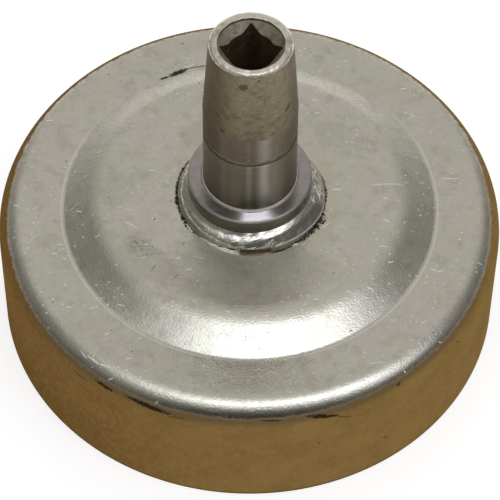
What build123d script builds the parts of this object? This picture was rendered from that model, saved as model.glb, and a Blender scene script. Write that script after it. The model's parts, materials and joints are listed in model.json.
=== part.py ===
from build123d import *
import os
from math import cos, radians, sin, sqrt, tan

# Clutch drum of a brush cutter: a pressed steel cup, a turned hub shaft that stands
# through its centre, and the weld bead that joins the two.
# Millimetres. Z is the drum's axis, the cup's open rim lies on Z = 0 and the shaft points up.
# The flats of the drive square lie along X and Y.

# Pressed cup
DRUM_BORE = 78.0            # friction wall that the clutch shoes grip, diameter
SHEET = 2.0                 # sheet thickness, even all over
DRUM_HEIGHT = 23.0          # open rim to the flat ledge
BEND_INSIDE = 2.3           # inside radius between the skirt and the ledge
LEDGE_WIDTH = 6.1           # flat ring between the rim bend and the foot of the raised panel
PANEL_RISE = 3.1            # raised panel above the ledge
PANEL_SLOPE = 26.5          # straight side of the raised panel, degrees from level
PANEL_ROLL_INSIDE = 8.5     # inside radius of the panel's rolled shoulder
CREASE_RADIUS = 1.2         # hollow corner at the panel's foot
RIM_EDGE_RADIUS = 0.3       # both edges of the cut rim

# Turned hub shaft, listed from the cup upwards
SPIGOT_STANDOUT = 0.8       # spigot past the inside face of the cup
SPIGOT_CHAMFER = 0.4
SEATING_LEDGE = 2.0         # underside of the collar that bears on the cup, width
HOLE_CLEARANCE = 0.05       # spigot in the cup's hole, on the radius
COLLAR_HEIGHT = 5.4         # cup to the bearing shoulder
COLLAR_CHAMFER = 0.3
SHOULDER_WIDTH = 2.5        # shoulder that the bearing's inner ring stands on
SEAT_DIAMETER = 15.0        # bearing seat
SEAT_LENGTH = 11.0
SEAT_FILLET = 0.5           # at the foot of the seat
SEAT_LEAD_IN = 0.2          # chamfer at the top of the seat
GROOVE_WIDTH = 1.1          # retaining ring groove
GROOVE_DEPTH = 0.35
LAND_RELIEF = 0.02          # plain land under the seat's radius
LAND_LENGTH = 5.4
NOSE_LENGTH = 14.5          # tapered nose
NOSE_EDGE = 0.25            # broken edge round the tip

# Drive socket in the nose
DRIVE_SQUARE = 7.0          # across flats
DRIVE_CORNER_RADIUS = 0.3
DRIVE_DEPTH = 24.0
PILOT_OVERSIZE = 0.5        # pilot drill over the square's flats, on the diameter
PILOT_RUNOUT = 4.0          # pilot drill past the end of the square
DRILL_POINT_ANGLE = 118.0
MOUTH_MARGIN = 0.18         # mouth recess outside the square's corners
MOUTH_DEPTH = 0.6           # straight recess above the countersink
COUNTERSINK_ANGLE = 90.0
TIP_FACE_WIDTH = 1.2        # flat ring round the mouth

# Centre drilling in the spigot's end
CENTRE_DIAMETER = 5.0
CENTRE_ANGLE = 60.0

# Weld bead
WELD_UP = 2.9               # leg on the collar
WELD_OUT = 2.2              # leg on the cup
WELD_TOE = 0.35             # height of the thin toe at the bead's outer edge
WELD_CROWN = 0.55           # bulge of the bead outside a straight fillet
FACET_START = -40.0         # stretch where the bead's end ran out flat, degrees from +X
FACET_SPAN = 95.0
FACET_TOE = 0.7             # height of the toe there
WELD_DRIFT = 0.4            # bead off the hub's axis
WELD_DRIFT_ANGLE = 45.0     # side to which it is off
BREAK_START = -51.6         # stretch where the toe has broken away, degrees from +X
BREAK_SPAN = 24.0
BREAK_WIDTH = 0.9           # how far in from the toe
BREAK_HEIGHT = 0.8

# Radii and heights that follow
BORE_RADIUS = DRUM_BORE / 2
OUTER_RADIUS = BORE_RADIUS + SHEET
BEND_RADIUS = BEND_INSIDE + SHEET
BEND_CENTRE = OUTER_RADIUS - BEND_RADIUS
PANEL_ROLL_RADIUS = PANEL_ROLL_INSIDE + SHEET
PANEL_TOP = DRUM_HEIGHT + PANEL_RISE
PANEL_FOOT = BEND_CENTRE - LEDGE_WIDTH
# The rolled shoulder and the crease are arcs; the straight side takes what they leave of the rise.
SLOPE = radians(PANEL_SLOPE)
PANEL_ARCS = PANEL_ROLL_RADIUS + CREASE_RADIUS
PANEL_SIDE_RUN = (PANEL_RISE - PANEL_ARCS * (1 - cos(SLOPE))) / tan(SLOPE)
ROLL_START = PANEL_FOOT - PANEL_ARCS * sin(SLOPE) - PANEL_SIDE_RUN

SEAT_RADIUS = SEAT_DIAMETER / 2
COLLAR_RADIUS = SEAT_RADIUS + SHOULDER_WIDTH
SPIGOT_RADIUS = COLLAR_RADIUS - SEATING_LEDGE
HUB_HOLE_RADIUS = SPIGOT_RADIUS + HOLE_CLEARANCE
LAND_RADIUS = SEAT_RADIUS - LAND_RELIEF
GROOVE_RADIUS = SEAT_RADIUS - GROOVE_DEPTH
SPIGOT_END = PANEL_TOP - SHEET - SPIGOT_STANDOUT
SHOULDER = PANEL_TOP + COLLAR_HEIGHT
GROOVE_LOW = SHOULDER + SEAT_LENGTH
GROOVE_HIGH = GROOVE_LOW + GROOVE_WIDTH
NOSE_START = GROOVE_HIGH + LAND_LENGTH
TIP = NOSE_START + NOSE_LENGTH

PILOT_RADIUS = (DRIVE_SQUARE + PILOT_OVERSIZE) / 2
MOUTH_RADIUS = DRIVE_SQUARE / sqrt(2) + MOUTH_MARGIN
TIP_RADIUS = MOUTH_RADIUS + TIP_FACE_WIDTH + NOSE_EDGE

WELD_TOE_RADIUS = COLLAR_RADIUS + WELD_OUT
WELD_TOP = PANEL_TOP + WELD_UP


def section(edges):
    """Closed face in the XZ plane, from edges drawn as radius and height."""
    return Plane.XZ * make_face(edges)


def outline(*points):
    """Straight edges through points given as radius and height."""
    return [Line(a, b) for a, b in zip(points, points[1:])]


def sheet_line(inset):
    """Section line of the cup from hub hole to open rim, set inside the outer face by inset."""
    top = PANEL_TOP - inset
    ledge = DRUM_HEIGHT - inset
    wall = OUTER_RADIUS - inset
    roll = PANEL_ROLL_RADIUS - inset
    crease = CREASE_RADIUS + inset
    bend = BEND_RADIUS - inset
    side_top = (ROLL_START + roll * sin(SLOPE), top - roll * (1 - cos(SLOPE)))
    side_foot = (PANEL_FOOT - crease * sin(SLOPE), ledge + crease * (1 - cos(SLOPE)))
    return [
        Line((HUB_HOLE_RADIUS, top), (ROLL_START, top)),
        CenterArc((ROLL_START, top - roll), roll, 90, -PANEL_SLOPE),
        Line(side_top, side_foot),
        CenterArc((PANEL_FOOT, ledge + crease), crease, 270 - PANEL_SLOPE, PANEL_SLOPE),
        Line((PANEL_FOOT, ledge), (BEND_CENTRE, ledge)),
        CenterArc((BEND_CENTRE, ledge - bend), bend, 90, -90),
        Line((wall, ledge - bend), (wall, 0)),
    ]


def drum_cup():
    """Drawn cup with a raised centre panel, one sheet of even thickness."""
    hole = Line((HUB_HOLE_RADIUS, PANEL_TOP), (HUB_HOLE_RADIUS, PANEL_TOP - SHEET))
    rim = Line((OUTER_RADIUS, 0), (BORE_RADIUS, 0))
    cup = revolve(section([*sheet_line(0), rim, *sheet_line(SHEET), hole]), Axis.Z)
    return fillet(cup.edges().group_by(Axis.Z)[0], RIM_EDGE_RADIUS)


def hub_blank():
    """Turned shaft before its socket: spigot, collar, bearing seat, groove, land and nose."""
    below_fillet = outline(
        (0, SPIGOT_END),
        (SPIGOT_RADIUS - SPIGOT_CHAMFER, SPIGOT_END),
        (SPIGOT_RADIUS, SPIGOT_END + SPIGOT_CHAMFER),
        (SPIGOT_RADIUS, PANEL_TOP),
        (COLLAR_RADIUS, PANEL_TOP),
        (COLLAR_RADIUS, SHOULDER - COLLAR_CHAMFER),
        (COLLAR_RADIUS - COLLAR_CHAMFER, SHOULDER),
        (SEAT_RADIUS + SEAT_FILLET, SHOULDER),
    )
    seat_foot = CenterArc((SEAT_RADIUS + SEAT_FILLET, SHOULDER + SEAT_FILLET), SEAT_FILLET, 270, -90)
    above_fillet = outline(
        (SEAT_RADIUS, SHOULDER + SEAT_FILLET),
        (SEAT_RADIUS, GROOVE_LOW - SEAT_LEAD_IN),
        (SEAT_RADIUS - SEAT_LEAD_IN, GROOVE_LOW),
        (GROOVE_RADIUS, GROOVE_LOW),
        (GROOVE_RADIUS, GROOVE_HIGH),
        (LAND_RADIUS, GROOVE_HIGH),
        (LAND_RADIUS, NOSE_START),
        (TIP_RADIUS, TIP - NOSE_EDGE),
        (TIP_RADIUS - NOSE_EDGE, TIP),
        (0, TIP),
        (0, SPIGOT_END),
    )
    return revolve(section([*below_fillet, seat_foot, *above_fillet]), Axis.Z)


def drive_socket():
    """Hollow of the square drive: mouth recess, countersink, round pilot and broached square."""
    countersink = (MOUTH_RADIUS - PILOT_RADIUS) / tan(radians(COUNTERSINK_ANGLE / 2))
    pilot_end = TIP - DRIVE_DEPTH - PILOT_RUNOUT
    point = PILOT_RADIUS / tan(radians(DRILL_POINT_ANGLE / 2))
    drilled = revolve(
        section(
            outline(
                (0, TIP),
                (MOUTH_RADIUS, TIP),
                (MOUTH_RADIUS, TIP - MOUTH_DEPTH),
                (PILOT_RADIUS, TIP - MOUTH_DEPTH - countersink),
                (PILOT_RADIUS, pilot_end),
                (0, pilot_end - point),
                (0, TIP),
            )
        ),
        Axis.Z,
    )
    square = RectangleRounded(DRIVE_SQUARE, DRIVE_SQUARE, DRIVE_CORNER_RADIUS)
    return drilled + Pos(Z=TIP) * extrude(square, -DRIVE_DEPTH)


def centre_drilling():
    """Cone that the shaft was turned on, in the end of the spigot."""
    radius = CENTRE_DIAMETER / 2
    depth = radius / tan(radians(CENTRE_ANGLE / 2))
    corners = ((0, SPIGOT_END), (radius, SPIGOT_END), (0, SPIGOT_END + depth), (0, SPIGOT_END))
    return revolve(section(outline(*corners)), Axis.Z)


def hub_shaft():
    """Hub shaft in one piece, with its socket and its centre drilling."""
    return hub_blank() - drive_socket() - centre_drilling()


def bead_section(toe_height, crown):
    """Section of the bead: a fillet on the collar and the cup, its face bulging by crown."""
    toe = (WELD_TOE_RADIUS, PANEL_TOP + toe_height)
    crest = (COLLAR_RADIUS, WELD_TOP)
    middle = (
        (toe[0] + crest[0]) / 2 + crown * sqrt(0.5),
        (toe[1] + crest[1]) / 2 + crown * sqrt(0.5),
    )
    face = ThreePointArc(toe, middle, crest) if crown else Line(toe, crest)
    foot = outline(
        crest,
        (SPIGOT_RADIUS, WELD_TOP),
        (SPIGOT_RADIUS, PANEL_TOP),
        (WELD_TOE_RADIUS, PANEL_TOP),
        toe,
    )
    return section([*foot, face])


def bead_run(face, start, span):
    """Stretch of the bead from the angle start, carried round the hub by span degrees."""
    return Rot(Z=start) * revolve(face, Axis.Z, revolution_arc=span)


def weld_bead():
    """Fillet weld round the collar, a little off centre, round-faced and flat where it ran out."""
    round_run = bead_run(bead_section(WELD_TOE, WELD_CROWN), FACET_START + FACET_SPAN, 360 - FACET_SPAN)
    flat_run = bead_run(bead_section(FACET_TOE, 0), FACET_START, FACET_SPAN)
    drift = radians(WELD_DRIFT_ANGLE)
    ring = Pos(WELD_DRIFT * cos(drift), WELD_DRIFT * sin(drift)) * (round_run + flat_run)
    collar = Pos(Z=PANEL_TOP) * extrude(Circle(COLLAR_RADIUS), WELD_UP)
    return ring - collar - broken_toe()


def broken_toe():
    """Sector cut from the bead's outer edge, where the toe never fused to the cup."""
    inner = WELD_TOE_RADIUS - BREAK_WIDTH
    outer = WELD_TOE_RADIUS + 2 * WELD_DRIFT
    top = PANEL_TOP + BREAK_HEIGHT
    face = section(
        outline((inner, PANEL_TOP), (outer, PANEL_TOP), (outer, top), (inner, top), (inner, PANEL_TOP))
    )
    return Rot(Z=BREAK_START) * revolve(face, Axis.Z, revolution_arc=BREAK_SPAN)


pieces = {
    "drum_cup": drum_cup(),
    "hub_shaft": hub_shaft(),
    "weld_bead": weld_bead(),
}
os.makedirs("parts", exist_ok=True)
for name, piece in pieces.items():
    export_step(piece, f"parts/{name}.step")
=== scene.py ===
import json
import logging
from dataclasses import asdict, dataclass, field
from enum import IntEnum
from math import cos, radians, sin, tan
from typing import Any

import bpy
import numpy as np
from mathutils import Matrix, Vector
from numpy.typing import NDArray


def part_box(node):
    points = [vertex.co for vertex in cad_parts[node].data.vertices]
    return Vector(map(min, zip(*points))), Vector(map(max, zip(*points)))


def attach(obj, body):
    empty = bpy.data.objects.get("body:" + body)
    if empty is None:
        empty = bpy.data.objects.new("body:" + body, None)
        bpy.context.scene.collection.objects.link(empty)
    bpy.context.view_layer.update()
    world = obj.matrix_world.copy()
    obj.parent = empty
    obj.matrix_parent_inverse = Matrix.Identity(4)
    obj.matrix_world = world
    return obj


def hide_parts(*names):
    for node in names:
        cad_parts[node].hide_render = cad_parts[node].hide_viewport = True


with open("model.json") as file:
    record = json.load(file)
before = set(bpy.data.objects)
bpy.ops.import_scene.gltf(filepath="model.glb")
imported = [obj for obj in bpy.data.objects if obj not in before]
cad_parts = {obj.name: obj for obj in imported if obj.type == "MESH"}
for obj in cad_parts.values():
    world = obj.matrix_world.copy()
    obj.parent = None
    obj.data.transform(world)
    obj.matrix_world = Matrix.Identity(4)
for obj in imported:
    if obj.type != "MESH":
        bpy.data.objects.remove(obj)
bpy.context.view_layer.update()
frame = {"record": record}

BODY = "root"
MM = 0.001
PER_MM = 1.0 / MM

# The drum's front faces the camera. Angles round the drum are counted from the front to the right.
FRONT_ANGLE = -45.0
RIGHT = Vector((cos(radians(FRONT_ANGLE + 90)), sin(radians(FRONT_ANGLE + 90)), 0.0))
BACK = Vector((-cos(radians(FRONT_ANGLE)), -sin(radians(FRONT_ANGLE)), 0.0))

Array = NDArray[np.float64]
Colour = tuple[float, float, float]
log = logging.getLogger("clutch_drum")


def line(start: tuple[float, float], end: tuple[float, float], count: int) -> Array:
    """Points along a straight stretch of a section.

    Args:
        start: Radius and height where it begins.
        end: Radius and height where it ends.
        count: Number of points, both ends included.

    Returns:
        Array of radius and height, start + t (end - start) for t from 0 to 1.
    """
    return np.linspace(start, end, count)


def arc(centre: tuple[float, float], radius: float, start: float, end: float, count: int) -> Array:
    """Points along a round stretch of a section.

    Args:
        centre: Radius and height of the arc's centre.
        radius: Radius of the arc.
        start: First angle, degrees from the outward direction towards up.
        end: Last angle.
        count: Number of points, both ends included.

    Returns:
        Array of radius and height, centre + radius (cos a, sin a).
    """
    angle = np.radians(np.linspace(start, end, count))
    return np.column_stack([centre[0] + radius * np.cos(angle), centre[1] + radius * np.sin(angle)])


def joined(*stretches: Array) -> Array:
    """Stretches of a section end to end, with the points that repeat dropped.

    Args:
        stretches: Arrays of radius and height, in order.

    Returns:
        One array of radius and height.
    """
    points = np.vstack(stretches)
    step = np.linalg.norm(np.diff(points, axis=0), axis=1)
    return points[np.concatenate([[True], step > 1e-7])]


def turned(section: Array, angles: Array) -> Array:
    """Section carried round the drum's axis: (r cos a, r sin a, z) for each point and angle.

    Args:
        section: Radius and height of each point.
        angles: Angles round the axis, radians.

    Returns:
        Grid of points, one row for each point of the section.
    """
    radius, height = section[:, :1], section[:, 1:]
    level = np.broadcast_to(height, (len(section), len(angles)))
    return np.stack([radius * np.cos(angles), radius * np.sin(angles), level], axis=-1)


def full_turn(count: int) -> Array:
    """Evenly spaced angles of one whole turn, in radians."""
    return np.linspace(0.0, 2.0 * np.pi, count, endpoint=False)


def eased(value: Array, low: float, high: float) -> Array:
    """Smooth step from 0 at low to 1 at high: t t (3 - 2 t)."""
    t = np.clip((value - low) / (high - low), 0.0, 1.0)
    return t * t * (3.0 - 2.0 * t)


def ripple(u: Array, v: Array, seed: int, reach: float, waves: int = 14) -> Array:
    """Smooth uneven field: the mean of sine waves of mixed directions and lengths.

    Args:
        u: First coordinate, in mm.
        v: Second coordinate, in mm.
        seed: Seed of the waves.
        reach: Typical wavelength, in mm.
        waves: Number of waves that are added up.

    Returns:
        Field of about -1 to 1, the sum of sin(k . (u, v) + phase) over the square root of their number.
    """
    draw = np.random.default_rng(seed)
    heading = draw.uniform(0.0, 2.0 * np.pi, waves)
    length = reach * draw.uniform(0.6, 1.7, waves)
    phase = draw.uniform(0.0, 2.0 * np.pi, waves)
    k = 2.0 * np.pi / length
    swing = np.multiply.outer(u, k * np.cos(heading)) + np.multiply.outer(v, k * np.sin(heading)) + phase
    return np.sin(swing).sum(axis=-1) / np.sqrt(waves)


def round_keys(angles: Array, keys: dict[float, float]) -> Array:
    """Value round the drum, carried smoothly through a few key values.

    Args:
        angles: Degrees from the front to the right.
        keys: Value at each key angle, in degrees.

    Returns:
        Periodic interpolation of the keys, softened over a few degrees.
    """
    offsets = np.linspace(-9.0, 9.0, 13)
    spread = np.interp(angles[:, None] + offsets, list(keys), list(keys.values()), period=360.0)
    return spread.mean(axis=1)


@dataclass
class Surface:
    """Closed surface on a grid whose rows run round and close on themselves.

    Attributes:
        grid: Points, rows by columns by 3, in metres.
        looped: True where the last row joins the first, False where both end rows are single points.
        bands: Material number of each strip between two rows.
        marks: Values carried by the points, by name, rows by columns.
    """

    grid: Array
    looped: bool
    bands: NDArray[np.int32] | None = None
    marks: dict[str, Array] = field(default_factory=dict)

    def faces(self) -> tuple[NDArray[np.int64], NDArray[np.int32]]:
        """Triangles that cover the grid, turned so that they face outwards.

        Returns:
            Corners of each triangle as point numbers, and the strip that each lies in.
        """
        rows, columns = self.grid.shape[:2]
        index = np.arange(rows * columns).reshape(rows, columns)
        if self.looped:
            index = np.vstack([index, index[:1]])
        else:
            index[0], index[-1] = index[0, 0], index[-1, 0]
        across = np.roll(index, -1, axis=1)
        first = np.stack([index[:-1], across[:-1], across[1:]], axis=-1)
        second = np.stack([index[:-1], across[1:], index[1:]], axis=-1)
        strip = np.broadcast_to(np.arange(len(index) - 1)[:, None], first.shape[:2])
        corners = np.concatenate([first.reshape(-1, 3), second.reshape(-1, 3)])
        strips = np.concatenate([strip.ravel(), strip.ravel()])
        whole = (corners != np.roll(corners, 1, axis=1)).all(axis=1)
        corners, strips = corners[whole], strips[whole]
        a, b, c = (self.grid.reshape(-1, 3)[corners[:, k]] for k in range(3))
        volume = np.einsum("ij,ij->i", a, np.cross(b, c)).sum()
        return (corners if volume > 0.0 else corners[:, ::-1]), strips


def make_piece(
    name: str,
    surfaces: list[Surface],
    materials: list[bpy.types.Material],
    sharp_angle: float = 40.0,
) -> bpy.types.Object:
    """Puts closed surfaces into one mesh object at the origin.

    Args:
        name: Name of the object and of its mesh.
        surfaces: Surfaces that make up the piece.
        materials: Materials, in the order that the bands number them.
        sharp_angle: Edges that turn by more than this stay sharp, in degrees.

    Returns:
        The new object.
    """
    points, corners, numbers, marks = [], [], [], {}
    base = 0
    for surface in surfaces:
        faces, strips = surface.faces()
        used, renumbered = np.unique(faces, return_inverse=True)
        bands = np.zeros(strips.max() + 1, np.int32) if surface.bands is None else surface.bands
        points.append(surface.grid.reshape(-1, 3)[used])
        corners.append(renumbered.reshape(-1, 3) + base)
        numbers.append(bands[strips])
        for mark, values in surface.marks.items():
            marks.setdefault(mark, []).append(values.ravel()[used])
        base += len(used)
    mesh = bpy.data.meshes.new(name)
    mesh.from_pydata(np.vstack(points), [], np.vstack(corners))
    for material in materials:
        mesh.materials.append(material)
    mesh.polygons.foreach_set("material_index", np.concatenate(numbers))
    mesh.polygons.foreach_set("use_smooth", np.ones(len(mesh.polygons), bool))
    for mark, values in marks.items():
        mesh.attributes.new(mark, "FLOAT", "POINT").data.foreach_set("value", np.concatenate(values))
    mesh.set_sharp_from_angle(angle=radians(sharp_angle))
    mesh.update()
    piece = bpy.data.objects.new(name, mesh)
    bpy.context.scene.collection.objects.link(piece)
    return piece


class Graph:
    """Nodes of one material, group or world, with short ways to add the common ones."""

    def __init__(self, tree: bpy.types.NodeTree) -> None:
        """Starts on an empty tree.

        Args:
            tree: Node tree to fill.
        """
        self.tree = tree
        tree.nodes.clear()

    def feed(self, socket: bpy.types.NodeSocket, value: Any) -> None:
        """Links a socket to another one, or sets its own value."""
        if isinstance(value, bpy.types.NodeSocket):
            self.tree.links.new(value, socket)
        else:
            socket.default_value = value

    def add(self, kind: str, inputs: dict[Any, Any] | None = None, **settings: Any) -> bpy.types.Node:
        """Adds a node.

        Args:
            kind: Type of the node.
            inputs: Sockets to feed, by name or number.
            settings: Properties of the node.

        Returns:
            The new node.
        """
        node = self.tree.nodes.new(kind)
        for name, value in settings.items():
            setattr(node, name, value)
        for key, value in (inputs or {}).items():
            self.feed(node.inputs[key], value)
        return node

    def math(self, operation: str, a: Any, b: Any = 0.0, c: Any = 0.0) -> bpy.types.NodeSocket:
        """Result of one arithmetic step on numbers."""
        return self.add("ShaderNodeMath", {0: a, 1: b, 2: c}, operation=operation).outputs[0]

    def times(self, *values: Any) -> bpy.types.NodeSocket:
        """Product of all the values."""
        product = values[0]
        for value in values[1:]:
            product = self.math("MULTIPLY", product, value)
        return product

    def most(self, *values: Any) -> bpy.types.NodeSocket:
        """Largest of the values."""
        largest = values[0]
        for value in values[1:]:
            largest = self.math("MAXIMUM", largest, value)
        return largest

    def dot(self, vector: Any, axis: Any) -> bpy.types.NodeSocket:
        """Dot product of two vectors."""
        node = self.add("ShaderNodeVectorMath", {0: vector, 1: axis}, operation="DOT_PRODUCT")
        return node.outputs["Value"]

    def split(self, vector: Any) -> list[bpy.types.NodeSocket]:
        """The three components of a vector."""
        return list(self.add("ShaderNodeSeparateXYZ", {0: vector}).outputs)

    def vector(self, x: Any = 0.0, y: Any = 0.0, z: Any = 0.0) -> bpy.types.NodeSocket:
        """Vector made of three components."""
        return self.add("ShaderNodeCombineXYZ", {0: x, 1: y, 2: z}).outputs[0]

    def step(self, value: Any, low: Any, high: Any, start: Any = 0.0, end: Any = 1.0) -> bpy.types.NodeSocket:
        """Smooth change from start, where value is low, to end, where it is high."""
        sockets = {0: value, 1: low, 2: high, 3: start, 4: end}
        return self.add("ShaderNodeMapRange", sockets, interpolation_type="SMOOTHSTEP").outputs[0]

    def window(self, value: Any, start: float, end: float, soft: float) -> bpy.types.NodeSocket:
        """Mask of 1 between start and end, with each edge softened by soft to both sides."""
        rising = self.step(value, start - soft, start + soft)
        return self.times(rising, self.step(value, end + soft, end - soft))

    def apart(self, a: Any, b: Any) -> bpy.types.NodeSocket:
        """Distance between two numbers."""
        return self.math("ABSOLUTE", self.math("SUBTRACT", a, b))

    def ratio_squared(self, value: Any, unit: Any) -> bpy.types.NodeSocket:
        """Square of a number counted in a unit."""
        ratio = self.math("DIVIDE", value, unit)
        return self.times(ratio, ratio)

    def turned_from(self, vector: Any, centre: Any, angle: Any) -> list[bpy.types.NodeSocket]:
        """Place seen from a centre and turned by an angle about the z axis.

        Args:
            vector: Place.
            centre: Place that it is seen from.
            angle: Turn, in radians.

        Returns:
            Distance along and distance across the turned direction.
        """
        away = self.add("ShaderNodeVectorMath", {0: vector, 1: centre}, operation="SUBTRACT").outputs[0]
        sockets = {"Vector": away, "Angle": angle}
        return self.split(self.add("ShaderNodeVectorRotate", sockets, rotation_type="Z_AXIS").outputs[0])[:2]

    def noise(self, vector: Any, scale: Any, detail: float = 2.0, rough: float = 0.5) -> bpy.types.NodeSocket:
        """Noise of about 0.2 to 0.8 with a mean of 0.5."""
        sockets = {"Vector": vector, "Scale": scale, "Detail": detail, "Roughness": rough}
        return self.add("ShaderNodeTexNoise", sockets).outputs[0]

    def uneven(self, vector: Any, scale: Any, detail: float, rough: float) -> bpy.types.NodeSocket:
        """Noise of about -0.3 to 0.3 with a mean of 0."""
        return self.math("SUBTRACT", self.noise(vector, scale, detail, rough), 0.5)

    def blend(self, share: Any, a: Any, b: Any) -> bpy.types.NodeSocket:
        """Colour a carried towards colour b by a share."""
        sockets = {0: share, 6: opaque(a), 7: opaque(b)}
        return self.add("ShaderNodeMix", sockets, data_type="RGBA").outputs[2]

    def lerp(self, share: Any, a: Any, b: Any) -> bpy.types.NodeSocket:
        """Number a carried towards number b by a share."""
        return self.add("ShaderNodeMix", {0: share, 2: a, 3: b}, data_type="FLOAT").outputs[0]

    def place(self, group: bpy.types.NodeTree, **inputs: Any) -> bpy.types.bpy_prop_collection:
        """Places a node group, with inputs named in words joined by underscores, and gives its outputs."""
        node = self.add("ShaderNodeGroup", node_tree=group)
        for name, value in inputs.items():
            self.feed(node.inputs[name.replace("_", " ").capitalize()], value)
        return node.outputs


def opaque(colour: Any) -> Any:
    """Adds full opacity to a plain colour, and leaves a socket as it is."""
    return (*colour, 1.0) if isinstance(colour, tuple) and len(colour) == 3 else colour


def new_group(name: str, inputs: dict[str, str], outputs: dict[str, str]) -> tuple[Graph, Any, Any]:
    """Starts a shader node group.

    Args:
        name: Name of the group.
        inputs: Kind of each input socket, by name.
        outputs: Kind of each output socket, by name.

    Returns:
        The group's graph, its input sockets and its output sockets.
    """
    tree = bpy.data.node_groups.new(name, "ShaderNodeTree")
    for label, kind in inputs.items():
        tree.interface.new_socket(label, in_out="INPUT", socket_type=f"NodeSocket{kind}")
    for label, kind in outputs.items():
        tree.interface.new_socket(label, in_out="OUTPUT", socket_type=f"NodeSocket{kind}")
    graph = Graph(tree)
    entry = graph.add("NodeGroupInput").outputs
    leave = graph.add("NodeGroupOutput").inputs
    return graph, entry, leave


class Effects:
    """Surface effects that several finishes share, each built once as a node group."""

    def __init__(self) -> None:
        """Builds every effect."""
        self.stroke = self.build_stroke()
        self.ticks = self.build_ticks()
        self.grain = self.build_grain()
        self.cloud = self.build_cloud()

    @staticmethod
    def build_stroke() -> bpy.types.NodeTree:
        """One smear or scuff: a lens of a given length and width with a ragged edge.

        Returns:
            Group that puts out a mask, 1 where (along / half length)^2 + (across / half width)^2 is small.
        """
        inputs = {"Vector": "Vector", "Centre": "Vector", "Turn": "Float", "Half length": "Float"}
        inputs |= {"Half width": "Float", "Ragged": "Float", "Strength": "Float", "Grain": "Float"}
        graph, entry, leave = new_group("smear", inputs, {"Mask": "Float"})
        back_turn = graph.math("MULTIPLY", graph.math("RADIANS", entry["Turn"]), -1.0)
        along, across = graph.turned_from(entry["Vector"], entry["Centre"], back_turn)
        reach = graph.ratio_squared(along, entry["Half length"])
        width = graph.ratio_squared(across, entry["Half width"])
        torn = graph.times(graph.uneven(entry["Vector"], entry["Grain"], 4.0, 0.7), entry["Ragged"], 4.0)
        edge = graph.math("ADD", graph.math("ADD", reach, width), torn)
        graph.feed(leave["Mask"], graph.times(graph.step(edge, 1.25, 0.45), entry["Strength"]))
        return graph.tree

    @staticmethod
    def build_ticks() -> bpy.types.NodeTree:
        """Short fine scratches, one in each cell of a scatter, all lying about one way.

        Returns:
            Group that puts out a mask of the scratches.
        """
        inputs = {"Vector": "Vector", "Density": "Float", "Length": "Float", "Width": "Float"}
        inputs |= {"Spread": "Float", "Share": "Float"}
        graph, entry, leave = new_group("scratch ticks", inputs, {"Mask": "Float"})
        cells = graph.add(
            "ShaderNodeTexVoronoi",
            {"Vector": entry["Vector"], "Scale": entry["Density"]},
            voronoi_dimensions="2D",
        )
        pick, stretch, chance = graph.split(cells.outputs["Color"])
        turn = graph.times(graph.math("SUBTRACT", pick, 0.5), entry["Spread"])
        along, across = graph.turned_from(entry["Vector"], cells.outputs["Position"], turn)
        half = graph.times(entry["Length"], graph.math("ADD", stretch, 0.3))
        in_length = graph.step(graph.math("DIVIDE", graph.math("ABSOLUTE", along), half), 1.0, 0.6)
        in_width = graph.step(graph.math("DIVIDE", graph.math("ABSOLUTE", across), entry["Width"]), 1.0, 0.4)
        there = graph.math("LESS_THAN", chance, entry["Share"])
        graph.feed(leave["Mask"], graph.times(in_length, in_width, there, graph.math("ADD", stretch, 0.25)))
        return graph.tree

    @staticmethod
    def build_grain() -> bpy.types.NodeTree:
        """Fine grain of rolled or plated metal, as a height and as a mask of single flecks for painted
        glints.

        Returns:
            Group that puts out a height and a mask of the flecks where glints are painted.
        """
        inputs = {"Vector": "Vector", "Size": "Float"}
        graph, entry, leave = new_group("metal grain", inputs, {"Height": "Float", "Glints": "Float"})
        scale = graph.math("DIVIDE", 1.0, entry["Size"])
        fine = graph.noise(entry["Vector"], scale, 3.0, 0.6)
        coarse = graph.noise(entry["Vector"], graph.math("MULTIPLY", scale, 0.31), 2.0, 0.5)
        graph.feed(leave["Height"], graph.math("ADD", fine, graph.math("MULTIPLY", coarse, 0.45)))
        graph.feed(leave["Glints"], graph.step(fine, 0.60, 0.74))
        return graph.tree

    @staticmethod
    def build_cloud() -> bpy.types.NodeTree:
        """Soft uneven patches, as of handling, smoke or oxide.

        Returns:
            Group that puts out a mask of the patches.
        """
        inputs = {"Vector": "Vector", "Size": "Float", "Low": "Float", "High": "Float"}
        graph, entry, leave = new_group("patches", inputs, {"Mask": "Float"})
        scale = graph.math("DIVIDE", 1.0, entry["Size"])
        patchy = graph.noise(entry["Vector"], scale, 5.0, 0.62)
        graph.feed(leave["Mask"], graph.step(patchy, entry["Low"], entry["High"]))
        return graph.tree


@dataclass(frozen=True)
class Smear:
    """One mark on the metal: a smear, stain, scuff, spot or scratch.

    Attributes:
        across: Place to the right, or round the skirt or the hub from the front, in mm.
        up: Place towards the back, or up the skirt or the hub, in mm.
        half_length: Half its length, in mm.
        half_width: Half its width, in mm.
        turn: Turn of its length from level, in degrees.
        strength: How strongly it shows, up to 1.
        ragged: How torn its edge is.
    """

    across: float
    up: float
    half_length: float
    half_width: float
    turn: float
    strength: float
    ragged: float = 0.6

    def mask(self, graph: Graph, effects: Effects, place: Any, grain: float = 1.6) -> bpy.types.NodeSocket:
        """Mask of the mark, with an edge torn at the given fineness."""
        return graph.place(
            effects.stroke,
            vector=place,
            centre=(self.across, self.up, 0.0),
            turn=self.turn,
            half_length=self.half_length,
            half_width=self.half_width,
            ragged=self.ragged,
            strength=self.strength,
            grain=grain,
        )["Mask"]


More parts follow.
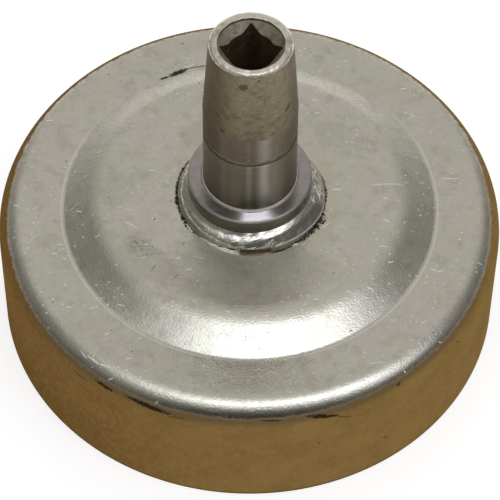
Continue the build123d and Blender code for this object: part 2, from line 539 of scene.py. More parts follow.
@dataclass(frozen=True)
class Ticks:
    """Scatter of short fine strokes or specks.

    Attributes:
        density: Strokes to the mm, each way.
        length: Half the length of a middling stroke, in mm.
        width: Half the width of a stroke, in mm.
        spread: How far their directions differ, in radians.
        share: Share of the places that hold one.
    """

    density: float
    length: float
    width: float
    spread: float
    share: float

    def mask(self, graph: Graph, effects: Effects, place: Any) -> bpy.types.NodeSocket:
        """Mask of all the strokes."""
        return graph.place(effects.ticks, vector=place, **asdict(self))["Mask"]


@dataclass(frozen=True)
class PaintedStreak:
    """Bright vertical streak along the hub, a painted reflection.

    Attributes:
        across: Place round the hub from the front, in mm.
        reach: Distance at which it has faded out, in mm.
        strength: How strongly it shows, up to 1.
    """

    across: float
    reach: float
    strength: float


@dataclass(frozen=True)
class SootRun:
    """Stretch of soot on the panel beside the weld.

    Attributes:
        start: First angle, in degrees from the front to the right.
        end: Last angle.
        reach: Radius out to which it lies, in mm.
        torn: How far its edge is torn, in mm.
    """

    start: float
    end: float
    reach: float
    torn: float


def metal(name: str) -> tuple[bpy.types.Material, Graph, bpy.types.Node]:
    """Starts a metal finish.

    Args:
        name: Name of the material.

    Returns:
        The material, its graph and its shader, which is fully metallic.
    """
    material = bpy.data.materials.new(name)
    material.use_nodes = True
    graph = Graph(material.node_tree)
    shader = graph.add("ShaderNodeBsdfPrincipled", {"Metallic": 1.0})
    output = graph.add("ShaderNodeOutputMaterial")
    graph.feed(output.inputs["Surface"], shader.outputs[0])
    return material, graph, shader


def photo_aligned(graph: Graph) -> bpy.types.NodeSocket:
    """Place on the piece in mm: first to the right, then towards the back, then up."""
    place = graph.add("ShaderNodeTexCoord").outputs["Object"]
    turn = (0.0, 0.0, -radians(FRONT_ANGLE + 90))
    size = (PER_MM, PER_MM, PER_MM)
    return graph.add("ShaderNodeMapping", {"Vector": place, "Rotation": turn, "Scale": size}).outputs[0]


def polar(graph: Graph, right: Any, back: Any) -> tuple[bpy.types.NodeSocket, bpy.types.NodeSocket]:
    """Distance from the drum's axis, and angle from the front to the right in radians."""
    squares = graph.math("ADD", graph.times(right, right), graph.times(back, back))
    return graph.math("SQRT", squares), graph.math("ARCTAN2", right, graph.math("MULTIPLY", back, -1.0))


def bumped(graph: Graph, height: Any, distance: float, under: Any = None) -> bpy.types.NodeSocket:
    """Normal of a surface with a relief of the given depth, in metres, on top of the normal under it."""
    sockets = {"Height": height, "Distance": distance, "Strength": 1.0}
    if under is not None:
        sockets["Normal"] = under
    return graph.add("ShaderNodeBump", sockets).outputs[0]


@dataclass(frozen=True)
class PlatedSheet:
    """Plated sheet of the cup: grainy, scratched, smoked near the weld, with painted glints and highlights
    and a brown painted reflection on the skirt. Sizes in mm.

    Attributes:
        wall_radius: Outside of the skirt.
        ledge_height: Height of the flat ledge.
        bend_radius: Outside of the bend between skirt and ledge.
        bright: Colour of the clean plating.
        rosy: Colour of its rosy patches.
        worn: Colour of its dull patches.
        burnish: Colour of the painted highlight along the crease and of the painted glints.
        smoke: Colour of the smoked zone in front of the weld.
        heat: Colour of the heat tint beside the weld.
        soot: Colour of soot and scuffs.
        scratch: Colour of the scratches, painted bright as glints.
        warm_left: Colour of the painted reflection on the skirt, on the left.
        warm_right: Colour of the painted reflection on the skirt, on the right.
        warm_low: Colour of the painted reflection at the lower left, with painted shade.
        warm_dark: Colour of the painted reflection's large patches.
        warm_pale: Colour of the painted reflection's small patches.
        rim_line: Colour of the line along the open rim, painted shade of its rounding with dirt.
        fringe: Colour of the painted shade along the edge of the skirt's painted reflection.
        rough: Roughness of the plating.
        covered_rough: Roughness of the skirt's painted reflection, of soot and of scratches.
        grain_size: Size of the plating's grain.
        grain_depth: Depth of the plating's grain.
        wave_depth: Depth of the sheet's gentle waves.
        film_climb: How slowly the edge of the skirt's painted reflection climbs the bend from the front to
            the back.
        film_start: Radii between which the painted reflection sets in on the bend.
        wall_start: Radii between which the skirt's outer wall sets in.
        scuff_start: Radii between which the scuffs set in.
        crease: Radius of the ring of painted highlight.
        smoke_middle: Middle of the smoked zone, to the right and towards the back.
        smoke_half: Half its width and half its depth.
        smoke_end: Radii at which it has ended and at which it begins to fade.
        stains: Dull stains on the panel and the ledge.
        scratches: Single scratches on the panel and the ledge, painted bright as glints.
        tick_layers: Layers of short scratches, painted bright as glints.
        panel_smears: Black smears and hairlines on the panel.
        panel_specks: Black specks on the panel and the ledge.
        speck_patch: Patch of brown specks on the panel.
        patch_specks: Specks in that patch.
        skirt_smears: Black scuffs under the bend.
        skirt_specks: Dark specks on the skirt.
        soot_runs: Soot on the panel beside the weld.
        soot_soft: Half the length of a run's soft ends, in degrees.
    """

    wall_radius: float
    ledge_height: float
    bend_radius: float
    bright: Colour = (0.71, 0.69, 0.565)
    rosy: Colour = (0.735, 0.685, 0.60)
    worn: Colour = (0.59, 0.555, 0.455)
    burnish: Colour = (0.92, 0.88, 0.75)
    smoke: Colour = (0.35, 0.325, 0.27)
    heat: Colour = (0.66, 0.59, 0.41)
    soot: Colour = (0.022, 0.016, 0.010)
    scratch: Colour = (1.0, 0.97, 0.88)
    warm_left: Colour = (0.226, 0.124, 0.035)
    warm_right: Colour = (0.305, 0.188, 0.059)
    warm_low: Colour = (0.150, 0.080, 0.020)
    warm_dark: Colour = (0.19, 0.105, 0.030)
    warm_pale: Colour = (0.37, 0.232, 0.088)
    rim_line: Colour = (0.10, 0.065, 0.025)
    fringe: Colour = (0.17, 0.12, 0.06)
    rough: float = 0.18
    covered_rough: float = 0.5
    grain_size: float = 0.30
    grain_depth: float = 0.038
    wave_depth: float = 0.04
    film_climb: float = 1.397
    film_start: tuple[float, float] = (38.0, 38.4)
    wall_start: tuple[float, float] = (39.9, 40.3)
    scuff_start: tuple[float, float] = (39.05, 39.4)
    crease: float = 30.72
    smoke_middle: tuple[float, float] = (-1.6, -16.5)
    smoke_half: tuple[float, float] = (13.0, 7.0)
    smoke_end: tuple[float, float] = (24.5, 20.5)
    stains: tuple[Smear, ...] = (
        Smear(-18.0, -16.0, 14.0, 5.0, -48.0, 0.18, 2.2),
        Smear(-20.5, -28.0, 15.0, 4.5, -37.0, 0.08, 1.8),
        Smear(-7.0, 13.0, 5.0, 3.5, 20.0, 0.16, 1.2),
        Smear(-21.5, 1.0, 3.0, 4.0, 10.0, 0.14, 1.4),
        Smear(-16.9, -11.0, 3.2, 2.0, -30.0, 0.26, 1.2),
        Smear(15.0, 12.0, 6.0, 4.0, -30.0, 0.16, 1.3),
    )
    scratches: tuple[Smear, ...] = (
        Smear(22.2, 2.3, 3.0, 0.13, 5.8, 0.7, 0.5),
        Smear(14.1, 1.1, 0.9, 0.15, 2.0, 0.9, 0.4),
        Smear(33.0, 5.9, 1.7, 0.13, 0.0, 0.7, 0.5),
        Smear(-24.2, -30.4, 1.4, 0.16, -40.0, 0.9, 0.7),
        Smear(-22.4, -31.5, 1.1, 0.14, -24.0, 0.9, 0.7),
        Smear(-25.8, -29.3, 1.0, 0.12, -52.0, 0.8, 0.7),
    )
    tick_layers: tuple[Ticks, ...] = (
        Ticks(0.40, 0.50, 0.13, 1.1, 0.36),
        Ticks(0.80, 0.20, 0.13, 2.6, 0.40),
        Ticks(0.17, 1.2, 0.10, 2.0, 0.2),
    )
    panel_smears: tuple[Smear, ...] = (
        Smear(-12.3, 28.0, 1.9, 0.55, 28.0, 0.95),
        Smear(-14.6, 26.8, 0.9, 0.26, 24.0, 0.9),
        Smear(-9.2, 29.3, 2.3, 0.17, 13.0, 0.6),
        Smear(-11.7, 34.5, 0.35, 0.16, 40.0, 0.6),
        Smear(-15.2, -15.0, 0.8, 0.10, 60.0, 0.5, 0.4),
        Smear(-11.5, -16.6, 0.9, 0.09, 62.0, 0.4, 0.4),
        Smear(-16.3, -12.4, 0.5, 0.08, 66.0, 0.35, 0.4),
    )
    panel_specks: Ticks = Ticks(0.21, 0.17, 0.12, 6.0, 0.3)
    speck_patch: Smear = Smear(-16.9, -11.0, 2.6, 1.5, -30.0, 1.0, 0.5)
    patch_specks: Ticks = Ticks(2.9, 0.13, 0.12, 6.0, 0.9)
    skirt_smears: tuple[Smear, ...] = (
        Smear(-24.0, 20.4, 1.9, 0.30, -4.0, 0.9, 1.3),
        Smear(-15.9, 20.4, 4.0, 0.40, -3.0, 0.95, 1.3),
        Smear(-11.2, 19.9, 1.7, 0.16, 6.0, 0.5),
        Smear(12.0, 20.2, 2.8, 0.36, -14.0, 0.95, 1.1),
        Smear(15.6, 18.7, 1.6, 0.14, -30.0, 0.6),
        Smear(3.6, 20.8, 1.8, 0.13, -4.0, 0.8),
        Smear(-28.8, 19.4, 1.8, 0.22, 0.0, 0.45, 1.0),
        Smear(25.5, 20.4, 0.4, 0.3, 0.0, 0.7),
        Smear(39.0, 18.9, 0.45, 0.25, -30.0, 0.7),
        Smear(46.9, 12.5, 0.3, 0.25, 0.0, 0.6),
        Smear(11.5, 13.1, 0.45, 0.16, -40.0, 0.55),
        Smear(23.4, 7.3, 0.8, 0.16, -38.0, 0.55),
    )
    skirt_specks: Ticks = Ticks(0.2, 0.35, 0.1, 3.0, 0.35)
    soot_runs: tuple[SootRun, ...] = (
        SootRun(-125.0, -46.0, 12.02, 1.6),
        SootRun(16.0, 46.0, 12.58, 0.7),
        SootRun(42.0, 73.0, 12.72, 3.4),
        SootRun(70.0, 106.0, 12.4, 1.6),
    )
    soot_soft: float = 5.0

    def build(self, effects: Effects) -> bpy.types.Material:
        """Makes the material.

        Args:
            effects: Shared effects.

        Returns:
            The material.
        """
        material, graph, shader = metal("plated_sheet")
        place = photo_aligned(graph)
        right, back, up = graph.split(place)
        flat = graph.vector(right, back)
        radius, turn = polar(graph, right, back)
        wall = graph.vector(graph.math("MULTIPLY", turn, self.wall_radius), up)
        facing = graph.split(graph.add("ShaderNodeNewGeometry").outputs["True Normal"])[2]
        skirt, fringe = self.film_masks(graph, place, radius, facing)
        top = graph.times(graph.step(facing, 0.02, 0.1), graph.math("SUBTRACT", 1.0, skirt))

        grain = graph.place(effects.grain, vector=place, size=self.grain_size)
        blotch = graph.place(effects.cloud, vector=place, size=5.5, low=0.36, high=0.66)["Mask"]
        mottle = graph.place(effects.cloud, vector=place, size=0.9, low=0.40, high=0.68)["Mask"]
        ticks = graph.times(self.scratch_mask(graph, effects, flat), top)

        rosy = graph.place(effects.cloud, vector=place, size=9.0, low=0.40, high=0.62)["Mask"]
        colour = graph.blend(rosy, self.bright, self.rosy)
        colour = graph.blend(graph.times(blotch, 0.25), colour, self.worn)
        colour = graph.blend(graph.times(mottle, 0.3), colour, self.worn)
        grime = graph.place(effects.cloud, vector=place, size=2.4, low=0.47, high=0.72)["Mask"]
        colour = graph.blend(graph.times(grime, top, 0.3), colour, self.smoke)
        # Painted glints: the grain's bright flecks.
        colour = graph.blend(graph.times(grain["Glints"], 0.5), colour, self.burnish)
        smoked = self.smoke_mask(graph, flat, radius, top)
        colour = graph.blend(graph.times(smoked, 0.05), colour, self.smoke)
        for stain in self.stains:
            share = graph.times(stain.mask(graph, effects, flat, 0.35), top)
            colour = graph.blend(share, colour, self.smoke)
        near = graph.times(graph.step(radius, 16.0, 13.0), graph.step(right, 7.0, 11.5), top, 0.5)
        colour = graph.blend(near, colour, self.heat)
        # Painted highlight: a pale ring along the crease, fading out towards the back.
        away = graph.apart(radius, self.crease)
        ring = graph.times(graph.step(away, 0.22, 0.03), graph.step(back, 24.0, 8.0), top, 0.65)
        colour = graph.blend(ring, colour, self.burnish)
        # Painted reflection of a brown surrounding on the skirt.
        colour = graph.blend(skirt, colour, self.skirt_colour(graph, right, up, blotch, mottle))
        # Painted shade along that edge, at the front.
        colour = graph.blend(graph.times(fringe, 0.7), colour, self.fringe)
        # Scratches painted bright as glints.
        colour = graph.blend(ticks, colour, self.scratch)
        soot = self.soot_mask(graph, effects, flat, wall, skirt, top)
        colour = graph.blend(soot, colour, self.soot)

        rough = graph.lerp(blotch, self.rough - 0.02, self.rough + 0.04)
        rough = graph.lerp(smoked, rough, self.rough + 0.2)
        rough = graph.lerp(graph.most(ticks, soot, skirt), rough, self.covered_rough)
        waves = bumped(graph, graph.noise(place, 0.12, 2.0), self.wave_depth * MM)
        covered = graph.most(graph.times(ticks, 0.4), soot, skirt)
        graph.feed(shader.inputs["Base Color"], colour)
        graph.feed(shader.inputs["Roughness"], rough)
        graph.feed(shader.inputs["Metallic"], graph.math("SUBTRACT", 1.0, covered))
        graph.feed(shader.inputs["Normal"], bumped(graph, grain["Height"], self.grain_depth * MM, waves))
        shader.inputs["Specular IOR Level"].default_value = 0.0
        return material

    def film_masks(
        self, graph: Graph, place: Any, radius: Any, facing: Any
    ) -> tuple[bpy.types.NodeSocket, bpy.types.NodeSocket]:
        """Outside of the skirt up to the mottled edge of its painted reflection, which climbs the bend from
        front to back.

        Args:
            graph: Graph to add to.
            place: Place to the right, towards the back and up, in mm.
            radius: Distance from the axis, in mm.
            facing: Upward part of the surface's direction.

        Returns:
            Mask of the painted reflection, whose edge lies on the bend at half of atan2(climb, frontward
            share), and mask of the thin band of painted shade along that edge at the front.
        """
        _, back, up = graph.split(place)
        frontward = graph.math("DIVIDE", graph.math("MULTIPLY", back, -1.0), radius)
        slope = graph.times(graph.math("ARCTAN2", self.film_climb, frontward), 0.5)
        bend = self.bend_radius
        border = graph.math("MULTIPLY_ADD", graph.math("SINE", slope), bend, self.ledge_height - bend)
        raised = graph.math("ADD", border, graph.step(frontward, -0.6, 0.1, 0.0, 0.4))
        mottled = graph.times(graph.uneven(place, 0.8, 5.0, 0.75), 1.1)
        above = graph.math("ADD", graph.math("SUBTRACT", up, raised), mottled)
        upper_side = graph.step(facing, -0.3, -0.1)
        outside = graph.times(graph.step(radius, *self.film_start), upper_side)
        wall = graph.step(radius, *self.wall_start)
        # Painted reflection on the skirt, up to its climbing edge.
        film = graph.times(graph.step(above, 0.35, -0.3), graph.most(outside, wall))
        # Painted shade in a thin band along the reflection's edge, at the front.
        edge_radius = graph.math("MULTIPLY_ADD", graph.math("COSINE", slope), bend, self.wall_radius - bend)
        inward = graph.math("SUBTRACT", edge_radius, radius)
        along_edge = graph.times(graph.step(inward, 1.2, 0.15), graph.step(inward, -0.46, -0.1))
        fringe = graph.times(along_edge, upper_side, graph.step(frontward, 0.1, 0.75))
        return film, fringe

    def skirt_colour(
        self, graph: Graph, right: Any, up: Any, blotch: Any, mottle: Any
    ) -> bpy.types.NodeSocket:
        """Painted reflection on the skirt: brown, darker to the left and at the lower left, uneven, with
        painted shade and dirt at the rim.

        Args:
            graph: Graph to add to.
            right: Place to the right, in mm.
            up: Height, in mm.
            blotch: Mask of large patches.
            mottle: Mask of small patches.

        Returns:
            Colour of the skirt.
        """
        colour = graph.blend(graph.step(right, -40.0, 5.0), self.warm_left, self.warm_right)
        # Painted shade: darker at the lower left.
        low_left_shade = graph.times(graph.step(up, 15.0, 0.0), graph.step(right, -8.0, -38.0), 0.7)
        colour = graph.blend(low_left_shade, colour, self.warm_low)
        colour = graph.blend(graph.times(blotch, 0.38), colour, self.warm_dark)
        colour = graph.blend(graph.times(mottle, 0.34), colour, self.warm_pale)
        # Painted shade and dirt along the rim's rounding.
        return graph.blend(graph.step(up, 0.95, 0.35, 0.0, 0.6), colour, self.rim_line)

    def scratch_mask(self, graph: Graph, effects: Effects, flat: Any) -> bpy.types.NodeSocket:
        """Short scratches in loose clusters, and the long single ones, painted bright as glints.

        Args:
            graph: Graph to add to.
            effects: Shared effects.
            flat: Place to the right and towards the back, in mm.

        Returns:
            Mask of all the scratches.
        """
        cluster = graph.place(effects.cloud, vector=flat, size=8.0, low=0.44, high=0.56)["Mask"]
        short = graph.most(*(layer.mask(graph, effects, flat) for layer in self.tick_layers))
        single = graph.most(*(scratch.mask(graph, effects, flat, 2.5) for scratch in self.scratches))
        return graph.most(graph.times(short, cluster), single)

    def smoke_mask(self, graph: Graph, flat: Any, radius: Any, top: Any) -> bpy.types.NodeSocket:
        """Mottled zone that the welding smoke left in front of the hub.

        Args:
            graph: Graph to add to.
            flat: Place to the right and towards the back, in mm.
            radius: Distance from the axis, in mm.
            top: Mask of the upper side.

        Returns:
            Mask of the smoke.
        """
        across, back, _ = graph.split(flat)
        side, depth = (
            graph.ratio_squared(graph.math("SUBTRACT", place, middle), half)
            for place, middle, half in zip((across, back), self.smoke_middle, self.smoke_half)
        )
        mottle = graph.times(graph.uneven(flat, 0.55, 6.0, 0.7), 2.0)
        reach = graph.math("ADD", graph.math("ADD", side, depth), mottle)
        return graph.times(graph.step(reach, 1.9, 0.2), graph.step(radius, *self.smoke_end), top)

    def soot_mask(
        self, graph: Graph, effects: Effects, flat: Any, wall: Any, skirt: Any, top: Any
    ) -> bpy.types.NodeSocket:
        """Ragged soot beside the weld, with the smears on the panel and the scuffs under the bend.

        Args:
            graph: Graph to add to.
            effects: Shared effects.
            flat: Place to the right and towards the back, in mm.
            wall: Place round the skirt and up, in mm.
            skirt: Mask of the skirt.
            top: Mask of the upper side.

        Returns:
            Mask of everything that is black.
        """
        right, back, _ = graph.split(flat)
        radius, turn = polar(graph, right, back)
        torn = graph.uneven(flat, 1.7, 5.0, 0.78)
        on_top = [smear.mask(graph, effects, flat) for smear in self.panel_smears]
        for run in self.soot_runs:
            stretch = graph.window(turn, radians(run.start), radians(run.end), radians(self.soot_soft))
            edge = graph.math("ADD", radius, graph.times(torn, run.torn))
            on_top.append(graph.times(graph.step(edge, run.reach + 0.22, run.reach - 0.12), stretch))
        on_top.append(graph.times(self.panel_specks.mask(graph, effects, flat), 0.75))
        patch = self.speck_patch.mask(graph, effects, flat)
        on_top.append(graph.times(self.patch_specks.mask(graph, effects, flat), patch, 0.5))
        scuffs = graph.most(*(smear.mask(graph, effects, wall, 2.4) for smear in self.skirt_smears))
        scuffed = graph.times(scuffs, graph.step(radius, *self.scuff_start))
        specked = graph.times(self.skirt_specks.mask(graph, effects, wall), skirt, 0.5)
        return graph.most(graph.times(graph.most(*on_top), top), scuffed, specked)


@dataclass(frozen=True)
class TurnedSteel:
    """Machined steel of the hub, with fine lines that run round it.

    Attributes:
        name: Name of the finish.
        clean: Colour of the clean metal.
        stained: Colour of the stains on it.
        stain: How far the stains cover it, up to 1.
        rough: Roughness.
        line_pitch: Spacing of the turning lines, in mm.
        line_run: Length of a line before it changes, in mm.
        line_depth: Depth of the turning lines, in mm.
        line_tint: How strongly the lines show as light and dark.
        pit_depth: Depth of the rough grain, in mm.
        pit_size: Size of the rough grain, in mm.
        anisotropy: How far the lines spread a reflection along the axis.
        metallic: How metallic it is, less on its sides where shade is painted.
        lean: How far the turned ridges lean outwards, in degrees.
        lean_span: Angles between which they lean, in degrees from the front to the right.
        tarnish: How strongly shade is painted, as brown, on its left and right sides, up to 1.
        marks: Dark marks, by place round the hub from the front and by height.
        rubs: Bright vertical streaks along the hub, painted reflections.
        line_light: Colour of the light lines.
        line_dark: Colour of the dark lines.
        browning: Colour of the painted shade on the sides.
        brown_left: Rightward share of the direction where the painted shade begins and is full, on the left.
        brown_right: The same on the right.
        mark_colour: Colour of the marks.
        rub_colour: Colour of the painted reflections.
        lean_soft: Half the length of the soft ends of the leaning ridges, in degrees.
        unroll_radius: Radius at which the hub is unrolled to place marks and painted reflections, in mm.
    """

    name: str
    clean: Colour
    stained: Colour
    stain: float
    rough: float
    line_pitch: float
    line_run: float
    line_depth: float
    line_tint: float
    pit_depth: float = 0.001
    pit_size: float = 0.3
    anisotropy: float = 0.0
    metallic: float = 1.0
    lean: float = 0.0
    lean_span: tuple[float, float] = (-200.0, 200.0)
    tarnish: float = 0.0
    marks: tuple[Smear, ...] = ()
    rubs: tuple[PaintedStreak, ...] = ()
    line_light: Colour = (0.80, 0.77, 0.68)
    line_dark: Colour = (0.06, 0.052, 0.038)
    browning: Colour = (0.085, 0.060, 0.026)
    brown_left: tuple[float, float] = (-0.15, -0.92)
    brown_right: tuple[float, float] = (0.72, 1.0)
    mark_colour: Colour = (0.045, 0.04, 0.032)
    rub_colour: Colour = (0.78, 0.74, 0.70)
    lean_soft: float = 10.0
    unroll_radius: float = 7.0

    def build(self, effects: Effects) -> bpy.types.Material:
        """Makes the material.

        Args:
            effects: Shared effects.

        Returns:
            The material.
        """
        material, graph, shader = metal(self.name)
        place = photo_aligned(graph)
        right, back, up = graph.split(place)
        radius, turn = polar(graph, right, back)
        round_hub = graph.math("MULTIPLY", turn, self.unroll_radius)
        side = graph.vector(round_hub, up)
        stains = graph.place(effects.cloud, vector=place, size=1.6, low=0.42, high=0.7)["Mask"]
        specks = graph.place(effects.cloud, vector=place, size=0.4, low=0.55, high=0.72)["Mask"]
        grain = graph.place(effects.grain, vector=place, size=self.pit_size)
        around = [graph.math("DIVIDE", part, self.line_run) for part in (right, back)]
        across = graph.math("DIVIDE", graph.math("ADD", radius, up), self.line_pitch)
        lines = graph.noise(graph.vector(*around, across), 1.0, 3.0, 0.62)
        colour = graph.blend(graph.times(stains, self.stain), self.clean, self.stained)
        colour = graph.blend(graph.times(specks, self.stain, 0.7), colour, self.stained)
        colour = graph.blend(graph.step(lines, 0.52, 0.75, 0.0, self.line_tint), colour, self.line_light)
        colour = graph.blend(graph.step(lines, 0.48, 0.25, 0.0, self.line_tint), colour, self.line_dark)
        # Painted shade: brown and less metallic towards the left and right sides.
        sideways = graph.math("DIVIDE", right, radius)
        side_shaded = graph.most(
            graph.step(sideways, *self.brown_left, 0.0, self.tarnish),
            graph.step(sideways, *self.brown_right, 0.0, 0.7 * self.tarnish),
        )
        colour = graph.blend(side_shaded, colour, self.browning)
        for mark in self.marks:
            colour = graph.blend(mark.mask(graph, effects, side), colour, self.mark_colour)
        # Painted reflections: bright vertical streaks along the hub.
        for painted_streak in self.rubs:
            reflected_streak = graph.step(graph.apart(round_hub, painted_streak.across), painted_streak.reach, 0.0, 0.0, painted_streak.strength)
            colour = graph.blend(reflected_streak, colour, self.rub_colour)
        start, end = (radians(angle) for angle in self.lean_span)
        there = graph.window(turn, start, end, radians(self.lean_soft))
        upright = graph.add("ShaderNodeNewGeometry").outputs["Normal"]
        leaning = bumped(graph, graph.times(radius, -tan(radians(self.lean))), MM)
        ridges = graph.add("ShaderNodeMix", {0: there, 4: upright, 5: leaning}, data_type="VECTOR").outputs[1]
        turned_lines = bumped(graph, lines, self.line_depth * MM, ridges)
        graph.feed(shader.inputs["Base Color"], colour)
        graph.feed(shader.inputs["Roughness"], graph.lerp(stains, self.rough, self.rough + 0.08))
        graph.feed(shader.inputs["Metallic"], graph.lerp(side_shaded, self.metallic, 0.3 * self.metallic))
        graph.feed(shader.inputs["Normal"], bumped(graph, grain["Height"], self.pit_depth * MM, turned_lines))
        shader.inputs["Specular IOR Level"].default_value = 0.0
        shader.inputs["Anisotropic"].default_value = self.anisotropy
        shader.inputs["Anisotropic Rotation"].default_value = 0.25
        return material


@dataclass(frozen=True)
class WeldMetal:
    """Shiny weld metal with a film on its flat run and a sooty, rusty edge.

    Attributes:
        bright: Colour of the clean metal.
        dull: Colour of its dull patches.
        film: Colour of the oxide film on the flat run.
        soot: Colour of the black edge.
        rust: Colour of the rust in the gap at the front.
        rust_dark: Colour of its dark patches.
        bare: Colour of slivers and scraped edges: clean metal, painted brighter as glints.
        rough: Roughness of the clean metal.
        left_span: Angles between which it grows dull to the left, in degrees from the front to the right.
        streak_depth: Depth of the streaks, in mm.
    """

    bright: Colour = (0.78, 0.745, 0.64)
    dull: Colour = (0.42, 0.39, 0.31)
    film: Colour = (0.41, 0.38, 0.325)
    soot: Colour = (0.030, 0.027, 0.020)
    rust: Colour = (0.20, 0.11, 0.028)
    rust_dark: Colour = (0.03, 0.018, 0.008)
    bare: Colour = (0.95, 0.91, 0.79)
    rough: float = 0.2
    left_span: tuple[float, float] = (-15.0, -60.0)
    streak_depth: float = 0.012

    def build(self, effects: Effects) -> bpy.types.Material:
        """Makes the material.

        Args:
            effects: Shared effects.

        Returns:
            The material, which reads the marks soot, film, dull, rust and bare of the mesh.
        """
        material, graph, shader = metal("weld_metal")
        place = photo_aligned(graph)
        right, back, up = graph.split(place)
        soot, film, dull, rust, bare = (
            graph.add("ShaderNodeAttribute", attribute_name=mark).outputs["Fac"]
            for mark in ("soot", "film", "dull", "rust", "bare")
        )
        torn = graph.uneven(place, 2.2, 4.0, 0.7)
        sooty = graph.step(graph.math("ADD", soot, graph.times(torn, 1.5)), 0.45, 0.75)
        patches = graph.place(effects.cloud, vector=place, size=1.1, low=0.42, high=0.68)["Mask"]
        radius, turn = polar(graph, right, back)
        across = graph.math("ADD", radius, graph.math("MULTIPLY", up, 0.6))
        streaked = graph.vector(graph.math("MULTIPLY", turn, 8.0), graph.math("MULTIPLY", across, 6.0))
        streaks = graph.noise(streaked, 1.0, 3.0, 0.6)
        start, end = (radians(angle) for angle in self.left_span)
        to_left = graph.step(turn, start, end, 0.0, 0.45)
        dim = graph.most(graph.times(patches, 0.6), dull, to_left, graph.step(streaks, 0.47, 0.30, 0.0, 0.85))
        colour = graph.blend(dim, self.bright, self.dull)
        colour = graph.blend(film, colour, self.film)
        # Slivers and scraped edges painted bright as glints, and less metallic so that they stay bright.
        colour = graph.blend(bare, colour, self.bare)
        colour = graph.blend(sooty, colour, self.soot)
        rusty = graph.blend(graph.step(torn, -0.1, 0.15), self.rust, self.rust_dark)
        colour = graph.blend(rust, colour, rusty)
        dirty = graph.most(sooty, rust)
        clean = graph.lerp(graph.most(patches, dull), self.rough, self.rough + 0.12)
        graph.feed(shader.inputs["Base Color"], colour)
        graph.feed(shader.inputs["Roughness"], graph.lerp(dirty, clean, 0.7))
        graph.feed(shader.inputs["Metallic"], graph.lerp(graph.most(dirty, graph.times(bare, 0.6)), 1.0, 0.1))
        graph.feed(shader.inputs["Normal"], bumped(graph, streaks, self.streak_depth * MM))
        return material


@dataclass
class DrumCup:
    """Pressed cup: one sheet from the hub hole over the raised panel to the open rim. Sizes in mm.

    Attributes:
        outer_radius: Outside of the skirt.
        bore_radius: Friction wall.
        panel_top: Height of the raised panel.
        ledge_height: Height of the flat ledge.
        bend_radius: Outside of the bend between skirt and ledge.
        panel_foot: Radius at which the hollow crease meets the ledge.
        panel_slope: Straight side of the panel, in degrees.
        roll_radius: Outside of the panel's rolled shoulder.
        crease_radius: Hollow crease at the panel's foot.
        hole_radius: Hole for the hub's spigot.
        rim_edge: Rounding of the cut rim.
        segments: Steps round the drum.
    """

    outer_radius: float
    bore_radius: float
    panel_top: float
    ledge_height: float = 23.0
    bend_radius: float = 4.3
    panel_foot: float = 30.6
    panel_slope: float = 26.5
    roll_radius: float = 10.5
    crease_radius: float = 1.2
    hole_radius: float = 8.05
    rim_edge: float = 0.3
    segments: int = 448

    def sheet_line(self, inset: float) -> Array:
        """Section of the sheet from hub hole to rim, set inside the outer face by inset.

        Args:
            inset: Distance inside the outer face, in mm.

        Returns:
            Radius and height: flat panel, rolled shoulder, straight side, crease, ledge, bend and skirt.
        """
        slope = radians(self.panel_slope)
        rise = self.panel_top - self.ledge_height
        arcs = self.roll_radius + self.crease_radius
        side_run = (rise - arcs * (1.0 - cos(slope))) / tan(slope)
        roll_start = self.panel_foot - arcs * sin(slope) - side_run
        top, ledge = self.panel_top - inset, self.ledge_height - inset
        roll, crease = self.roll_radius - inset, self.crease_radius + inset
        bend, wall = self.bend_radius - inset, self.outer_radius - inset
        bend_start = self.outer_radius - self.bend_radius
        shoulder = arc((roll_start, top - roll), roll, 90.0, 90.0 - self.panel_slope, 16)
        hollow = arc((self.panel_foot, ledge + crease), crease, 270.0 - self.panel_slope, 270.0, 10)
        return joined(
            line((self.hole_radius, top), (roll_start, top), 12),
            shoulder,
            line(tuple(shoulder[-1]), tuple(hollow[0]), 6),
            hollow,
            line((self.panel_foot, ledge), (bend_start, ledge), 8),
            arc((bend_start, ledge - bend), bend, 90.0, 0.0, 26),
            line((wall, ledge - bend), (wall, self.rim_edge), 10),
        )

    def build(self, finish: bpy.types.Material) -> bpy.types.Object:
        """Carries the closed section of the sheet round the axis.

        Args:
            finish: Material of the cup.

        Returns:
            The cup, which stands for the CAD node.
        """
        sheet = self.outer_radius - self.bore_radius
        edge = self.rim_edge
        section = joined(
            self.sheet_line(0.0),
            arc((self.outer_radius - edge, edge), edge, 0.0, -90.0, 5),
            arc((self.bore_radius + edge, edge), edge, 270.0, 180.0, 5),
            self.sheet_line(sheet)[::-1],
        )
        surface = Surface(turned(section * MM, full_turn(self.segments)), True)
        cup = make_piece("drum_cup_plated", [surface], [finish])
        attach(cup, BODY)
        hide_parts("drum_cup")
        return cup


class HubBand(IntEnum):
    """Finishes along the hub, in the order of its material slots."""

    TURNED = 0
    COLLAR = 1
    SHOULDER = 2
    FILLET = 3
    GROUND = 4
    GROOVE = 5
    LAND = 6
    NOSE = 7
    TIP = 8
    SOCKET = 9
    BORE = 10


